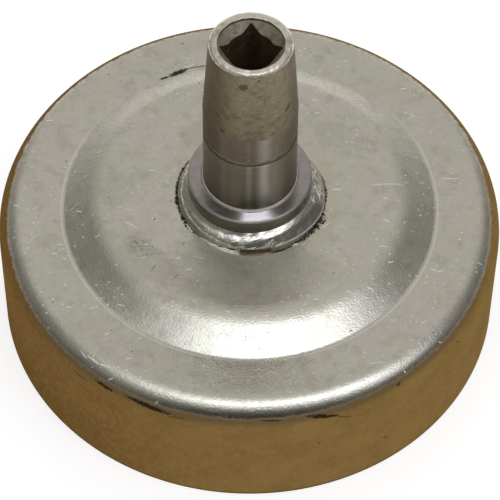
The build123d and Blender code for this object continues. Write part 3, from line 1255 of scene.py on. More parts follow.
@dataclass
class HubShaft:
    """Turned hub: spigot, collar, bearing seat, groove, land, tapered nose and drive socket. Sizes in mm.

    Attributes:
        seat_radius: Bearing seat.
        shoulder: Height of the bearing shoulder.
        tip: Height of the tip.
        panel_top: Height of the cup's panel, where the collar stands.
        spigot_end: Height of the spigot's lower end.
        collar_radius: Collar.
        spigot_radius: Spigot in the cup's hole.
        groove_low: Height of the groove's lower wall.
        groove_width: Width of the groove.
        groove_radius: Root of the groove.
        land_radius: Plain land.
        nose_start: Height at which the nose begins to taper.
        tip_radius: Outside of the tip.
        tip_edge: Rounding of the tip's worn outer edge.
        tip_wear: Depth of the worn hollows in the tip's face.
        wear_length: Typical distance between two hollows.
        wear_seed: Seed of the hollows.
        mouth_radius: Recess round the socket's mouth.
        mouth_edge: Rounding of that recess's rim.
        mouth_depth: Depth of that recess.
        square: Socket across flats.
        square_corner: Rounding of the socket's corners.
        square_depth: Depth of the square.
        floor_dish: Fall of the square's floor towards the pilot hole.
        pilot_radius: Round pilot hole.
        pilot_runout: Pilot hole below the square.
        centre_radius: Centre drilling in the spigot's end.
        centre_angle: Half the angle of the centre drilling, in degrees.
        drill_angle: Half the angle of the pilot hole's drill point, in degrees.
        spigot_chamfer: Chamfer of the spigot's end.
        collar_edge: Rounding of the collar's upper edge.
        seat_fillet: Fillet between shoulder and seat.
        seat_edge: Rounding of the seat's edge at the groove.
        land_edge: Rounding of the land's edge at the groove.
        rim_steps: Steps over the rim of the socket's mouth.
        cone_steps: Steps down the countersink.
        wall_steps: Steps down the square.
        segments: Steps round the hub.
    """

    seat_radius: float
    shoulder: float
    tip: float
    panel_top: float
    spigot_end: float
    collar_radius: float = 10.0
    spigot_radius: float = 8.0
    groove_low: float = 42.5
    groove_width: float = 1.1
    groove_radius: float = 7.15
    land_radius: float = 7.48
    nose_start: float = 49.0
    tip_radius: float = 6.58
    tip_edge: float = 0.65
    tip_wear: float = 0.09
    wear_length: float = 1.5
    wear_seed: int = 31
    mouth_radius: float = 5.13
    mouth_edge: float = 0.28
    mouth_depth: float = 0.6
    square: float = 7.0
    square_corner: float = 0.3
    square_depth: float = 24.0
    floor_dish: float = 0.03
    pilot_radius: float = 3.75
    pilot_runout: float = 4.0
    centre_radius: float = 2.5
    centre_angle: float = 30.0
    drill_angle: float = 59.0
    spigot_chamfer: float = 0.4
    collar_edge: float = 0.3
    seat_fillet: float = 0.5
    seat_edge: float = 0.2
    land_edge: float = 0.08
    rim_steps: int = 4
    cone_steps: int = 8
    wall_steps: int = 14
    segments: int = 384

    def outside(self) -> list[tuple[HubBand, Array]]:
        """Outside of the hub from the centre drilling up to the rim of the socket.

        Returns:
            Finish and section of each stretch, with the collar's upper edge, the seat's fillet and edge, the
            land's edge and the tip's outer edge as small arcs.
        """
        spigot, collar, seat = self.spigot_radius, self.collar_radius, self.seat_radius
        groove, land, mouth_rim = self.groove_radius, self.land_radius, self.mouth_radius + self.mouth_edge
        end, shoulder = self.spigot_end, self.shoulder
        low, high = self.groove_low, self.groove_low + self.groove_width
        cone_top = end + self.centre_radius / tan(radians(self.centre_angle))
        chamfer, fillet, tip_edge = self.spigot_chamfer, self.seat_fillet, self.tip_edge
        collar_corner = (collar - self.collar_edge, shoulder - self.collar_edge)
        fillet_corner = (seat + fillet, shoulder + fillet)
        seat_corner = (seat - self.seat_edge, low - self.seat_edge)
        land_corner = (land - self.land_edge, high + self.land_edge)
        tip_corner = (self.tip_radius - tip_edge, self.tip - tip_edge)
        return [
            (HubBand.TURNED, joined(
                line((0.0, cone_top), (self.centre_radius, end), 8),
                line((self.centre_radius, end), (spigot - chamfer, end), 5),
                line((spigot - chamfer, end), (spigot, end + chamfer), 3),
                line((spigot, end + chamfer), (spigot, self.panel_top), 5),
                line((spigot, self.panel_top), (collar, self.panel_top), 4),
            )),
            (HubBand.COLLAR, line((collar, self.panel_top), (collar, collar_corner[1]), 10)),
            (HubBand.TURNED, arc(collar_corner, self.collar_edge, 0.0, 90.0, 7)),
            (HubBand.SHOULDER, line((collar_corner[0], shoulder), (fillet_corner[0], shoulder), 8)),
            (HubBand.TURNED, arc(fillet_corner, fillet, 270.0, 232.0, 5)),
            # Painted highlight: a bright band on part of the seat fillet.
            (HubBand.FILLET, arc(fillet_corner, fillet, 232.0, 205.0, 5)),
            (HubBand.GROUND, joined(
                arc(fillet_corner, fillet, 205.0, 180.0, 4),
                line((seat, fillet_corner[1]), (seat, seat_corner[1]), 16),
                arc(seat_corner, self.seat_edge, 0.0, 90.0, 6),
            )),
            (HubBand.GROOVE, joined(
                line((seat_corner[0], low), (groove, low), 3),
                line((groove, low), (groove, high), 5),
                line((groove, high), (land_corner[0], high), 3),
            )),
            (HubBand.LAND, joined(
                arc(land_corner, self.land_edge, -90.0, 0.0, 5),
                line((land, land_corner[1]), (land, self.nose_start), 10),
            )),
            (HubBand.NOSE, joined(
                line((land, self.nose_start), (self.tip_radius, tip_corner[1]), 24),
                arc(tip_corner, tip_edge, 0.0, 30.0, 5),
            )),
            (HubBand.TIP, joined(
                arc(tip_corner, tip_edge, 30.0, 90.0, 10),
                line((tip_corner[0], self.tip), (mouth_rim, self.tip), 6),
            )),
        ]

    def wall_radius(self, angles: Array) -> Array:
        """Wall of the socket below its mouth.

        Args:
            angles: Angles round the hub, radians.

        Returns:
            Larger of the pilot radius and the polar radius of the rounded square, whose flats lie at
            h / cos a and whose corners are arcs of the corner radius.
        """
        half, corner = self.square / 2.0, self.square_corner
        folded = np.abs((angles + np.pi / 4.0) % (np.pi / 2.0) - np.pi / 4.0)
        flat = half / np.cos(folded)
        inner = half - corner
        along = inner * (np.cos(folded) + np.sin(folded))
        rounded = along + np.sqrt(np.maximum(along**2 - 2.0 * inner**2 + corner**2, 0.0))
        square = np.where(half * np.tan(folded) <= inner, flat, rounded)
        return np.maximum(self.pilot_radius, square)

    def socket(self, angles: Array) -> Array:
        """Inside of the socket from its rim down to the drill point.

        Args:
            angles: Angles round the hub, radians.

        Returns:
            Grid of points: rim, recess, countersink to the wall at each angle, wall, step and drill point.
        """
        wall = self.wall_radius(angles)
        mouth, edge = self.mouth_radius, self.mouth_edge
        recess = self.tip - self.mouth_depth
        floor = self.tip - self.square_depth
        pilot_end = floor - self.pilot_runout
        point = pilot_end - self.pilot_radius / tan(radians(self.drill_angle))
        one = np.ones_like(angles)
        rows: list[tuple[Array, Array]] = []
        for radius, height in arc((mouth + edge, self.tip - edge), edge, 90.0, 180.0, self.rim_steps + 1):
            rows.append((radius * one, height * one))
        rows.append((mouth * one, recess * one))
        for share in np.linspace(0.0, 1.0, self.cone_steps + 1)[1:]:
            radius = mouth + (wall - mouth) * share
            rows.append((radius, recess - (mouth - radius)))
        foot = recess - (mouth - wall)
        for share in np.linspace(0.0, 1.0, self.wall_steps + 1)[1:]:
            rows.append((wall, foot + (floor - foot) * share))
        rows.append((self.pilot_radius * one, (floor - self.floor_dish) * one))
        rows.append((self.pilot_radius * one, pilot_end * one))
        rows.append((0.0 * one, point * one))
        radius, height = (np.array(part) for part in zip(*rows))
        return np.stack([radius * np.cos(angles), radius * np.sin(angles), height], axis=-1)

    def worn(self, grid: Array) -> Array:
        """Hub with a worn tip, whose face sinks in soft uneven hollows.

        Args:
            grid: Points of the hub, in mm.

        Returns:
            The points, lowered near the tip by wear (1 + ripple) / 2, and never raised.
        """
        x, y, z = grid[..., 0], grid[..., 1], grid[..., 2]
        near = eased(z, self.tip - 0.5, self.tip - 0.05)
        near *= eased(np.hypot(x, y), self.mouth_radius - 0.01, self.mouth_radius + 0.1)
        hollows = np.clip(0.5 + 0.5 * ripple(x, y, self.wear_seed, self.wear_length), 0.0, 1.0)
        return np.stack([x, y, z - self.tip_wear * near * hollows], axis=-1)

    def build(self, finishes: dict[HubBand, bpy.types.Material]) -> bpy.types.Object:
        """Carries the section round the axis and sinks the socket into it.

        Args:
            finishes: Material of each band.

        Returns:
            The hub, which stands for the CAD node.
        """
        angles = full_turn(self.segments)
        section, bands = [], []
        for band, stretch in self.outside():
            section.append(stretch[1:] if section else stretch)
            bands += [band] * (len(stretch) - 1)
        socket = self.socket(angles)
        tip_strips = self.rim_steps // 2
        cone_strips = self.rim_steps - tip_strips + 1 + self.cone_steps
        bands += [HubBand.TIP] * tip_strips + [HubBand.SOCKET] * cone_strips
        bands += [HubBand.BORE] * (len(socket) - 1 - tip_strips - cone_strips)
        grid = self.worn(np.concatenate([turned(np.vstack(section), angles), socket[1:]])) * MM
        surface = Surface(grid, False, np.array(bands, np.int32))
        hub = make_piece("hub_shaft_turned", [surface], [finishes[band] for band in HubBand], 28.0)
        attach(hub, BODY)
        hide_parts("hub_shaft")
        return hub


Section = tuple[tuple[float, ...], tuple[float, ...]]

# Section of the weld by angle: radii from the hub's axis and heights over the panel, from collar to toe.
WELD_SECTIONS: dict[float, Section] = {
    -150.0: ((10.0, 10.50, 10.95, 11.40, 11.75, 11.88, 11.95), (2.50, 2.15, 1.75, 1.15, 0.50, 0.20, 0.0)),
    -120.0: ((10.0, 10.50, 10.95, 11.35, 11.65, 11.78, 11.85), (2.40, 2.10, 1.75, 1.20, 0.55, 0.20, 0.0)),
    -90.0: ((10.0, 10.50, 10.95, 11.35, 11.60, 11.72, 11.80), (2.40, 2.10, 1.75, 1.20, 0.55, 0.20, 0.0)),
    -60.0: ((10.0, 10.45, 10.95, 11.35, 11.62, 11.75, 11.85), (2.50, 2.12, 1.82, 1.35, 0.70, 0.25, 0.0)),
    -30.0: ((10.0, 10.45, 10.95, 11.40, 11.70, 11.83, 11.92), (2.55, 2.10, 1.82, 1.40, 0.75, 0.30, 0.0)),
    -10.0: ((10.0, 10.45, 11.00, 11.50, 11.85, 11.80, 11.72), (2.58, 2.18, 1.92, 1.52, 0.95, 0.65, 0.0)),
    5.0: ((10.0, 10.50, 11.05, 11.60, 11.95, 11.85, 11.72), (2.70, 2.35, 2.05, 1.55, 0.95, 0.65, 0.0)),
    18.0: ((10.0, 10.50, 11.10, 11.45, 11.75, 12.00, 12.30), (2.80, 2.48, 2.10, 1.55, 0.88, 0.45, 0.0)),
    32.0: ((10.0, 10.45, 10.90, 11.35, 11.88, 12.10, 12.42), (2.80, 2.52, 2.25, 1.60, 0.84, 0.42, 0.0)),
    46.0: ((10.0, 10.25, 10.60, 11.25, 12.06, 12.20, 12.42), (2.80, 2.64, 2.32, 1.62, 0.80, 0.40, 0.0)),
    60.0: ((10.0, 10.28, 10.70, 11.45, 12.28, 12.36, 12.45), (2.66, 2.46, 2.10, 1.50, 0.80, 0.40, 0.0)),
    71.0: ((10.0, 10.35, 10.80, 11.60, 12.42, 12.47, 12.52), (2.50, 2.25, 1.90, 1.35, 0.76, 0.35, 0.0)),
    84.0: ((10.0, 10.50, 11.00, 11.60, 12.10, 12.30, 12.42), (2.40, 2.05, 1.55, 0.95, 0.52, 0.25, 0.0)),
    100.0: ((10.0, 10.50, 11.00, 11.60, 12.00, 12.20, 12.35), (2.40, 2.10, 1.72, 1.05, 0.50, 0.20, 0.0)),
    130.0: ((10.0, 10.55, 11.10, 11.60, 11.90, 12.05, 12.10), (2.50, 2.10, 1.65, 1.00, 0.50, 0.20, 0.0)),
}


@dataclass
class WeldBead:
    """Fillet weld round the collar: round-faced, flat where it ran out, torn at its edge. Sizes in mm.

    Attributes:
        base: Height of the panel that it lies on.
        collar_radius: Collar that it runs round.
        sections: Section at each key angle, in degrees from the front to the right.
        unevenness: Height of the uneven ripples, by angle.
        ripple_length: Wavelength of the ripples.
        ripple_seed: Seed of the ripples.
        fine_length: Wavelength of the finer ripples on them.
        fine_seed: Seed of the finer ripples.
        flow: Height of the drawn-out streaks in which the metal flowed, by angle.
        flow_length: Distance between two streaks.
        flow_stretch: How many times longer than wide the streaks are.
        flow_seed: Seed of the streaks.
        flow_turn: Turn of the streaks towards the collar, in degrees.
        face_length: Length of the bead's face from collar to toe.
        tuck: How far the bead reaches into the collar.
        soot: How sooty the edge is, by angle.
        slivers: Thin lips on the panel: first and last angle, first and last radius, half width and height.
        sliver_seed: Seed of the first sliver's wandering edge.
        spatter: Crumbs on the panel: middle angle, its spread, radius, its spread and number.
        spatter_seed: Seed of the crumbs.
        crumb_size: Smallest and largest radius of a crumb.
        segments: Steps round the bead.
        span_steps: Steps between two points of the section.
    """

    base: float
    collar_radius: float
    sections: dict[float, Section] = field(default_factory=lambda: WELD_SECTIONS)
    unevenness: dict[float, float] = field(default_factory=lambda: {
        -180.0: 0.05, -100.0: 0.022, -50.0: 0.02, -25.0: 0.035, 5.0: 0.035, 22.0: 0.02,
        40.0: 0.010, 66.0: 0.012, 80.0: 0.07, 105.0: 0.08, 140.0: 0.05,
    })
    ripple_length: float = 1.7
    ripple_seed: int = 11
    fine_length: float = 0.7
    fine_seed: int = 17
    flow: dict[float, float] = field(default_factory=lambda: {
        -180.0: 0.005, -100.0: 0.006, -60.0: 0.007, -20.0: 0.010, 8.0: 0.012, 36.0: 0.011,
        52.0: 0.004, 72.0: 0.004, 84.0: 0.014, 120.0: 0.008,
    })
    flow_length: float = 0.55
    flow_stretch: float = 5.0
    flow_seed: int = 23
    flow_turn: float = 17.0
    face_length: float = 3.4
    tuck: float = 0.03
    soot: dict[float, float] = field(default_factory=lambda: {
        -180.0: 0.5, -120.0: 0.6, -60.0: 0.6, -42.0: 0.2, -30.0: 0.0, 14.0: 0.0,
        24.0: 0.5, 44.0: 0.9, 72.0: 1.0, 104.0: 1.0, 125.0: 0.4,
    })
    slivers: tuple[tuple[float, ...], ...] = (
        (-59.0, -49.0, 12.0, 12.02, 0.17, 0.16),
        (-42.0, -19.0, 11.86, 12.05, 0.16, 0.20),
        (-36.0, -12.0, 12.02, 12.22, 0.15, 0.16),
        (-29.0, -7.0, 11.95, 12.10, 0.20, 0.26),
        (-22.0, -6.5, 12.25, 12.42, 0.15, 0.14),
        (33.0, 39.0, 12.50, 12.75, 0.16, 0.16),
    )
    sliver_seed: int = 20
    spatter: tuple[tuple[float, float, float, float, int], ...] = (
        (55.0, 7.0, 12.60, 0.22, 46), (66.0, 4.5, 12.85, 0.28, 26), (88.0, 9.0, 12.42, 0.10, 14),
        (-98.0, 14.0, 11.95, 0.12, 26), (-62.0, 7.0, 12.00, 0.14, 8),
    )
    spatter_seed: int = 8
    crumb_size: tuple[float, float] = (0.06, 0.17)
    segments: int = 512
    span_steps: int = 7

    def build(self, finish: bpy.types.Material) -> bpy.types.Object:
        """Makes the bead with its slivers and the crumbs along its edge.

        Args:
            finish: Material of the weld metal.

        Returns:
            The bead, which stands for the CAD node.
        """
        surfaces = [self.bead(), *self.lips(), *self.crumbs()]
        bead = make_piece("weld_bead_run", surfaces, [finish], 55.0)
        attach(bead, BODY)
        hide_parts("weld_bead")
        return bead

    def section_at(self, degrees: Array) -> Array:
        """Smooth section at each angle.

        Args:
            degrees: Angles from the front to the right.

        Returns:
            Radius and height, angles by points by 2: Catmull-Rom curves through the section's points.
        """
        table = np.array(list(self.sections.values()))
        points = np.stack([
            np.stack([round_keys(degrees, dict(zip(self.sections, column))) for column in part], axis=1)
            for part in (table[:, 0].T, table[:, 1].T)
        ], axis=-1)
        ends = np.concatenate([
            2.0 * points[:, :1] - points[:, 1:2], points, 2.0 * points[:, -1:] - points[:, -2:-1]
        ], axis=1)[:, :, None, :]
        a, b, c, d = ends[:, :-3], ends[:, 1:-2], ends[:, 2:-1], ends[:, 3:]
        t = np.linspace(0.0, 1.0, self.span_steps, endpoint=False)[:, None]
        curve = 0.5 * (2.0 * b + (c - a) * t + (2.0 * a - 5.0 * b + 4.0 * c - d) * t**2
                       + (3.0 * b - a - 3.0 * c + d) * t**3)
        return np.concatenate([curve.reshape(len(degrees), -1, 2), points[:, -1:]], axis=1)

    def bead(self) -> Surface:
        """Body of the bead: its section carried round the collar and pushed out by uneven ripples.

        Returns:
            Closed surface with its marks.
        """
        degrees = np.linspace(-180.0, 180.0, self.segments, endpoint=False)
        section = self.section_at(degrees)
        radius, height = section[..., 0], section[..., 1]
        share = np.broadcast_to(np.linspace(0.0, 1.0, radius.shape[1]), radius.shape)
        length = np.radians(degrees)[:, None] * self.collar_radius + 0.0 * share
        rough = round_keys(degrees, self.unevenness)[:, None]
        down = self.face_length * share
        waves = ripple(length, down, self.ripple_seed, self.ripple_length)
        waves = waves + 0.25 * ripple(length, down, self.fine_seed, self.fine_length)
        lean = radians(self.flow_turn)
        along, across = length * cos(lean) - down * sin(lean), length * sin(lean) + down * cos(lean)
        streaks = ripple(along / self.flow_stretch, across, self.flow_seed, self.flow_length)
        flow = round_keys(degrees, self.flow)[:, None] * streaks
        push = (rough * waves + flow) * np.sin(np.pi * np.clip(share * 1.15, 0.0, 1.0)) ** 0.5
        inner_radius = self.collar_radius - self.tuck
        radius = np.maximum(radius + push * np.sqrt(0.5), inner_radius)
        height = np.maximum(height + push * np.sqrt(0.5), 0.0)
        inner = np.full((len(degrees), 2), inner_radius)
        radius = np.concatenate([radius, inner], axis=1)
        height = np.concatenate([height, 0.0 * inner[:, :1], 0.5 * height[:, :1]], axis=1)
        angle = np.radians(degrees + FRONT_ANGLE)[:, None]
        grid = np.stack([radius * np.cos(angle), radius * np.sin(angle), self.base + height], axis=-1) * MM
        share = np.concatenate([share, np.ones_like(inner)], axis=1)
        marks = {name: mark.T for name, mark in self.marks(degrees[:, None], share).items()}
        return Surface(np.swapaxes(grid, 0, 1), True, None, marks)

    def marks(self, degrees: Array, share: Array) -> dict[str, Array]:
        """Marks on the bead.

        Args:
            degrees: Angle of each step round the bead.
            share: Place from the collar, 0, to the toe, 1.

        Returns:
            Soot, film, dull, rust and bare, each of 0 to 1.
        """
        flat_run = eased(degrees, 10.0, 24.0) * (1.0 - eased(degrees, 72.0, 82.0))
        lip = eased(share, 0.635, 0.66) * (1.0 - eased(share, 0.68, 0.71))
        gap = eased(degrees, -8.5, -6.0) * (1.0 - eased(degrees, 16.0, 19.0))
        sooty = round_keys(degrees[:, 0], self.soot)[:, None]
        below = eased(share, 0.70, 0.78)
        return {
            "soot": sooty * eased(share, 0.74, 0.98) * (1.0 - gap),
            "film": flat_run * eased(share, 0.30, 0.40) * (1.0 - eased(share, 0.63, 0.655)),
            "dull": below * np.ones_like(degrees) * 0.9,
            "rust": gap * eased(share, 0.69, 0.74),
            # Painted glint along the lip of the flat run.
            "bare": 0.8 * flat_run * eased(degrees, 18.0, 28.0) * lip,
        }

    @staticmethod
    def plain_marks(shape: tuple[int, ...], soot: float = 0.0, bare: float = 0.0) -> dict[str, Array]:
        """Marks of a small lump: as much soot and as much of the bare mark, clean metal painted bright as a
        glint, all over, and nothing else.
        """
        blank = np.zeros(shape)
        return {"soot": blank + soot, "film": blank, "dull": blank, "rust": blank, "bare": blank + bare}

    def lips(self) -> list[Surface]:
        """Thin slivers of metal that lie on the panel beside the bead, painted bright as glints.

        Returns:
            Closed surfaces: an oval section along the edge, which thins out to a point at both ends.
        """
        steps = np.linspace(0.0, 1.0, 40)[:, None]
        ring = full_turn(12)[None, :]
        girth = np.sin(np.pi * steps) ** 0.6
        lips = []
        for seed, (start, end, first, last, width, height) in enumerate(self.slivers, self.sliver_seed):
            wander = 0.05 * ripple(steps * (end - start) * 0.2, 0.0 * steps, seed, 1.2)
            radius = first + (last - first) * steps + wander + width * girth * np.cos(ring)
            level = self.base + height * girth * (0.55 + np.sin(ring))
            angle = np.radians(start + (end - start) * steps + FRONT_ANGLE)
            grid = np.stack([radius * np.cos(angle), radius * np.sin(angle), level + 0.0 * radius], axis=-1)
            lips.append(Surface(grid * MM, False, None, self.plain_marks(radius.shape, bare=1.0)))
        return lips

    def crumbs(self) -> list[Surface]:
        """Crumbs of spatter and slag on the panel along the bead's torn edge.

        Returns:
            Closed lumps: spheres whose radius is uneven, flattened on the panel.
        """
        draw = np.random.default_rng(self.spatter_seed)
        tilt = np.linspace(0.0, np.pi, 7)[:, None]
        ring = full_turn(9)[None, :]
        lumps = []
        for middle, spread, distance, scatter, count in self.spatter:
            for _ in range(count):
                angle = radians(draw.normal(middle, spread) + FRONT_ANGLE)
                away = distance + draw.normal(0.0, scatter)
                size = draw.uniform(*self.crumb_size)
                lump = size * (1.0 + 0.3 * draw.normal(size=(tilt.size, ring.size)))
                x = away * cos(angle) + lump * np.sin(tilt) * np.cos(ring)
                y = away * sin(angle) + lump * np.sin(tilt) * np.sin(ring)
                z = self.base + 0.25 * size + 0.75 * lump * np.cos(tilt)
                marks = self.plain_marks(lump.shape, draw.uniform(0.0, 1.6))
                lumps.append(Surface(np.stack([x, y, z + 0.0 * x], axis=-1) * MM, False, None, marks))
        return lumps


@dataclass(frozen=True)
class Viewpoint:
    """Camera on the photograph's side of the drum.

    Attributes:
        azimuth: Direction round the drum, degrees.
        elevation: Height above level, degrees.
        distance: Distance from the origin, metres.
        lens: Focal length, mm.
        sensor: Width of the sensor, mm.
        roll: Turn of the camera about its own line of sight, degrees.
        frame_pixels: Width of the picture.
        origin_pixel: Where the drum's origin lies in the picture.
    """

    azimuth: float = 45.0
    elevation: float = 54.41
    distance: float = 0.47285
    lens: float = 200.54
    sensor: float = 36.0
    roll: float = 0.57
    frame_pixels: float = 500.0
    origin_pixel: tuple[float, float] = (249.084, 287.356)

    def place(self) -> bpy.types.Object:
        """Adds the camera and makes it the scene's own.

        Returns:
            The camera.
        """
        azimuth, elevation, roll = radians(self.azimuth), radians(self.elevation), radians(self.roll)
        away = Vector((sin(azimuth) * cos(elevation), -cos(azimuth) * cos(elevation), sin(elevation)))
        right = Vector((cos(azimuth), sin(azimuth), 0.0))
        up = right.cross(-away)
        focal = self.lens / self.sensor * self.frame_pixels
        aside = (self.frame_pixels / 2.0 - self.origin_pixel[0]) / focal
        above = (self.origin_pixel[1] - self.frame_pixels / 2.0) / focal
        aim = (-away + aside * right + above * up).normalized()
        level = right * cos(roll) + up * sin(roll)
        upright = level.cross(aim).normalized()
        level = aim.cross(upright)
        turn = Matrix((level, upright, -aim)).transposed().to_4x4()
        lens = bpy.data.cameras.new("photo_view")
        lens.lens, lens.sensor_width = self.lens, self.sensor
        lens.clip_start, lens.clip_end = 0.01, 20.0
        camera = bpy.data.objects.new("photo_view", lens)
        camera.matrix_world = Matrix.Translation(away * self.distance) @ turn
        bpy.context.scene.collection.objects.link(camera)
        bpy.context.scene.camera = camera
        return camera


@dataclass(frozen=True)
class Studio:
    """Pale floor, a soft light overhead with a wide glow and a grey room that is darker on the camera's side.

    Directions in the room are counted to the right and to the back, as sin(tilt) or, for the glow, on a disc
    of equal areas round the zenith, where the distance from the middle is 2 sin(tilt / 2).

    Attributes:
        light_aim: Direction of the light's middle: right, back and up.
        light_distance: Distance of the light, metres.
        light_size: Width and depth of the light, metres.
        light_power: Power of the light, watts.
        glow: Brightness of the glow round the light.
        glow_tint: Colour of the light and its glow, cooler than the room.
        glow_right: Extent of the glow to the right.
        glow_back: Extent of the glow to the back.
        glow_soft: Half the width of its soft edge.
        room: Brightness of the room overhead and behind.
        room_side: Brightness of the room at both sides.
        room_front: Brightness of the room on the camera's side.
        side_fall: Where the room falls off to the sides.
        front_fall: Where it falls off to the front.
        dim_rise: Where its dark part brightens to the sides.
        floor_size: Half the floor's width, metres.
        floor_tone: Colour of the floor.
        floor_glow: Light that the floor gives of its own.
        tone: Blender's name for the way that light is turned into picture values.
    """

    light_aim: tuple[float, float, float] = (0.182, -0.29, 0.939)
    light_distance: float = 1.0
    light_size: tuple[float, float] = (0.72, 0.25)
    light_power: float = 0.33
    glow: float = 1.65
    glow_tint: Colour = (0.86, 0.91, 1.06)
    glow_right: tuple[float, float] = (-0.37, 0.77)
    glow_back: tuple[float, float] = (-0.48, -0.12)
    glow_soft: float = 0.27
    room: float = 0.54
    room_side: float = 0.192
    room_front: float = 0.075
    side_fall: tuple[float, float] = (0.36, 0.86)
    front_fall: tuple[float, float] = (-0.14, -0.95)
    dim_rise: tuple[float, float] = (0.25, 0.80)
    floor_size: float = 4.0
    floor_tone: Colour = (0.62, 0.618, 0.612)
    floor_glow: float = 1.13
    tone: str = "Standard"

    def build(self) -> None:
        """Adds the floor, the light and the room."""
        bpy.context.scene.view_settings.view_transform = self.tone
        self.add_floor()
        self.add_light()
        self.add_room()

    def add_floor(self) -> None:
        """Lays the floor under the drum's rim, as a grid of x, y and 0."""
        reach = self.floor_size
        side = np.linspace(-reach, reach, 3)
        x, y = np.meshgrid(side, side, indexing="ij")
        points = np.stack([x, y, np.zeros_like(x)], axis=-1).reshape(-1, 3)
        index = np.arange(9).reshape(3, 3)
        corners = [index[:-1, :-1], index[1:, :-1], index[1:, 1:], index[:-1, 1:]]
        mesh = bpy.data.meshes.new("floor")
        mesh.from_pydata(points, [], np.stack(corners, axis=-1).reshape(-1, 4))
        material = bpy.data.materials.new("pale_floor")
        material.use_nodes = True
        graph = Graph(material.node_tree)
        tone = opaque(self.floor_tone)
        shader = graph.add("ShaderNodeBsdfPrincipled", {
            "Base Color": tone, "Roughness": 0.8, "Specular IOR Level": 0.0,
            "Emission Color": tone, "Emission Strength": self.floor_glow,
        })
        graph.feed(graph.add("ShaderNodeOutputMaterial").inputs["Surface"], shader.outputs[0])
        mesh.materials.append(material)
        floor = bpy.data.objects.new("floor", mesh)
        bpy.context.scene.collection.objects.link(floor)

    def add_light(self) -> None:
        """Hangs the soft light, with its long side level and its face towards the drum."""
        right, back, up = self.light_aim
        aim = (RIGHT * right + BACK * back + Vector((0.0, 0.0, up))).normalized()
        across = (RIGHT - aim * RIGHT.dot(aim)).normalized()
        lamp = bpy.data.lights.new("soft_light", "AREA")
        lamp.shape = "RECTANGLE"
        lamp.size, lamp.size_y = self.light_size
        lamp.energy = self.light_power
        lamp.color = self.glow_tint
        light = bpy.data.objects.new("soft_light", lamp)
        turn = Matrix((across, aim.cross(across), aim)).transposed().to_4x4()
        light.matrix_world = Matrix.Translation(aim * self.light_distance) @ turn
        bpy.context.scene.collection.objects.link(light)

    def add_room(self) -> None:
        """Fills the surroundings: bright overhead and behind, dim at the sides, dark towards the camera."""
        world = bpy.data.worlds.new("grey_room")
        world.use_nodes = True
        graph = Graph(world.node_tree)
        heading = graph.add("ShaderNodeTexCoord").outputs["Generated"]
        right = graph.dot(heading, tuple(RIGHT))
        behind = graph.dot(heading, tuple(BACK))
        up = graph.dot(heading, (0.0, 0.0, 1.0))
        side = graph.math("ABSOLUTE", right)
        lit = graph.times(
            graph.step(side, self.side_fall[1], self.side_fall[0]),
            graph.step(behind, self.front_fall[1], self.front_fall[0]),
        )
        dim = graph.step(side, *self.dim_rise, self.room_front, self.room_side)
        level = graph.lerp(lit, dim, self.room)
        stretch = graph.math("SQRT", graph.math("DIVIDE", 2.0, graph.most(graph.math("ADD", up, 1.0), 0.1)))
        glow = self.glow
        for heading_part, extent in ((right, self.glow_right), (behind, self.glow_back)):
            place = graph.times(heading_part, stretch)
            glow = graph.times(graph.window(place, *extent, self.glow_soft), glow)
        level = graph.math("ADD", level, glow)
        backdrop = graph.add("ShaderNodeLightPath").outputs["Is Camera Ray"]
        white = (1.0, 1.0, 1.0)
        tint = graph.blend(graph.math("DIVIDE", glow, level), white, self.glow_tint)
        shine = graph.add("ShaderNodeBackground", {
            "Color": graph.blend(backdrop, tint, white),
            "Strength": graph.lerp(backdrop, level, 1.0),
        })
        graph.feed(graph.add("ShaderNodeOutputWorld").inputs["Surface"], shine.outputs[0])
        bpy.context.scene.world = world


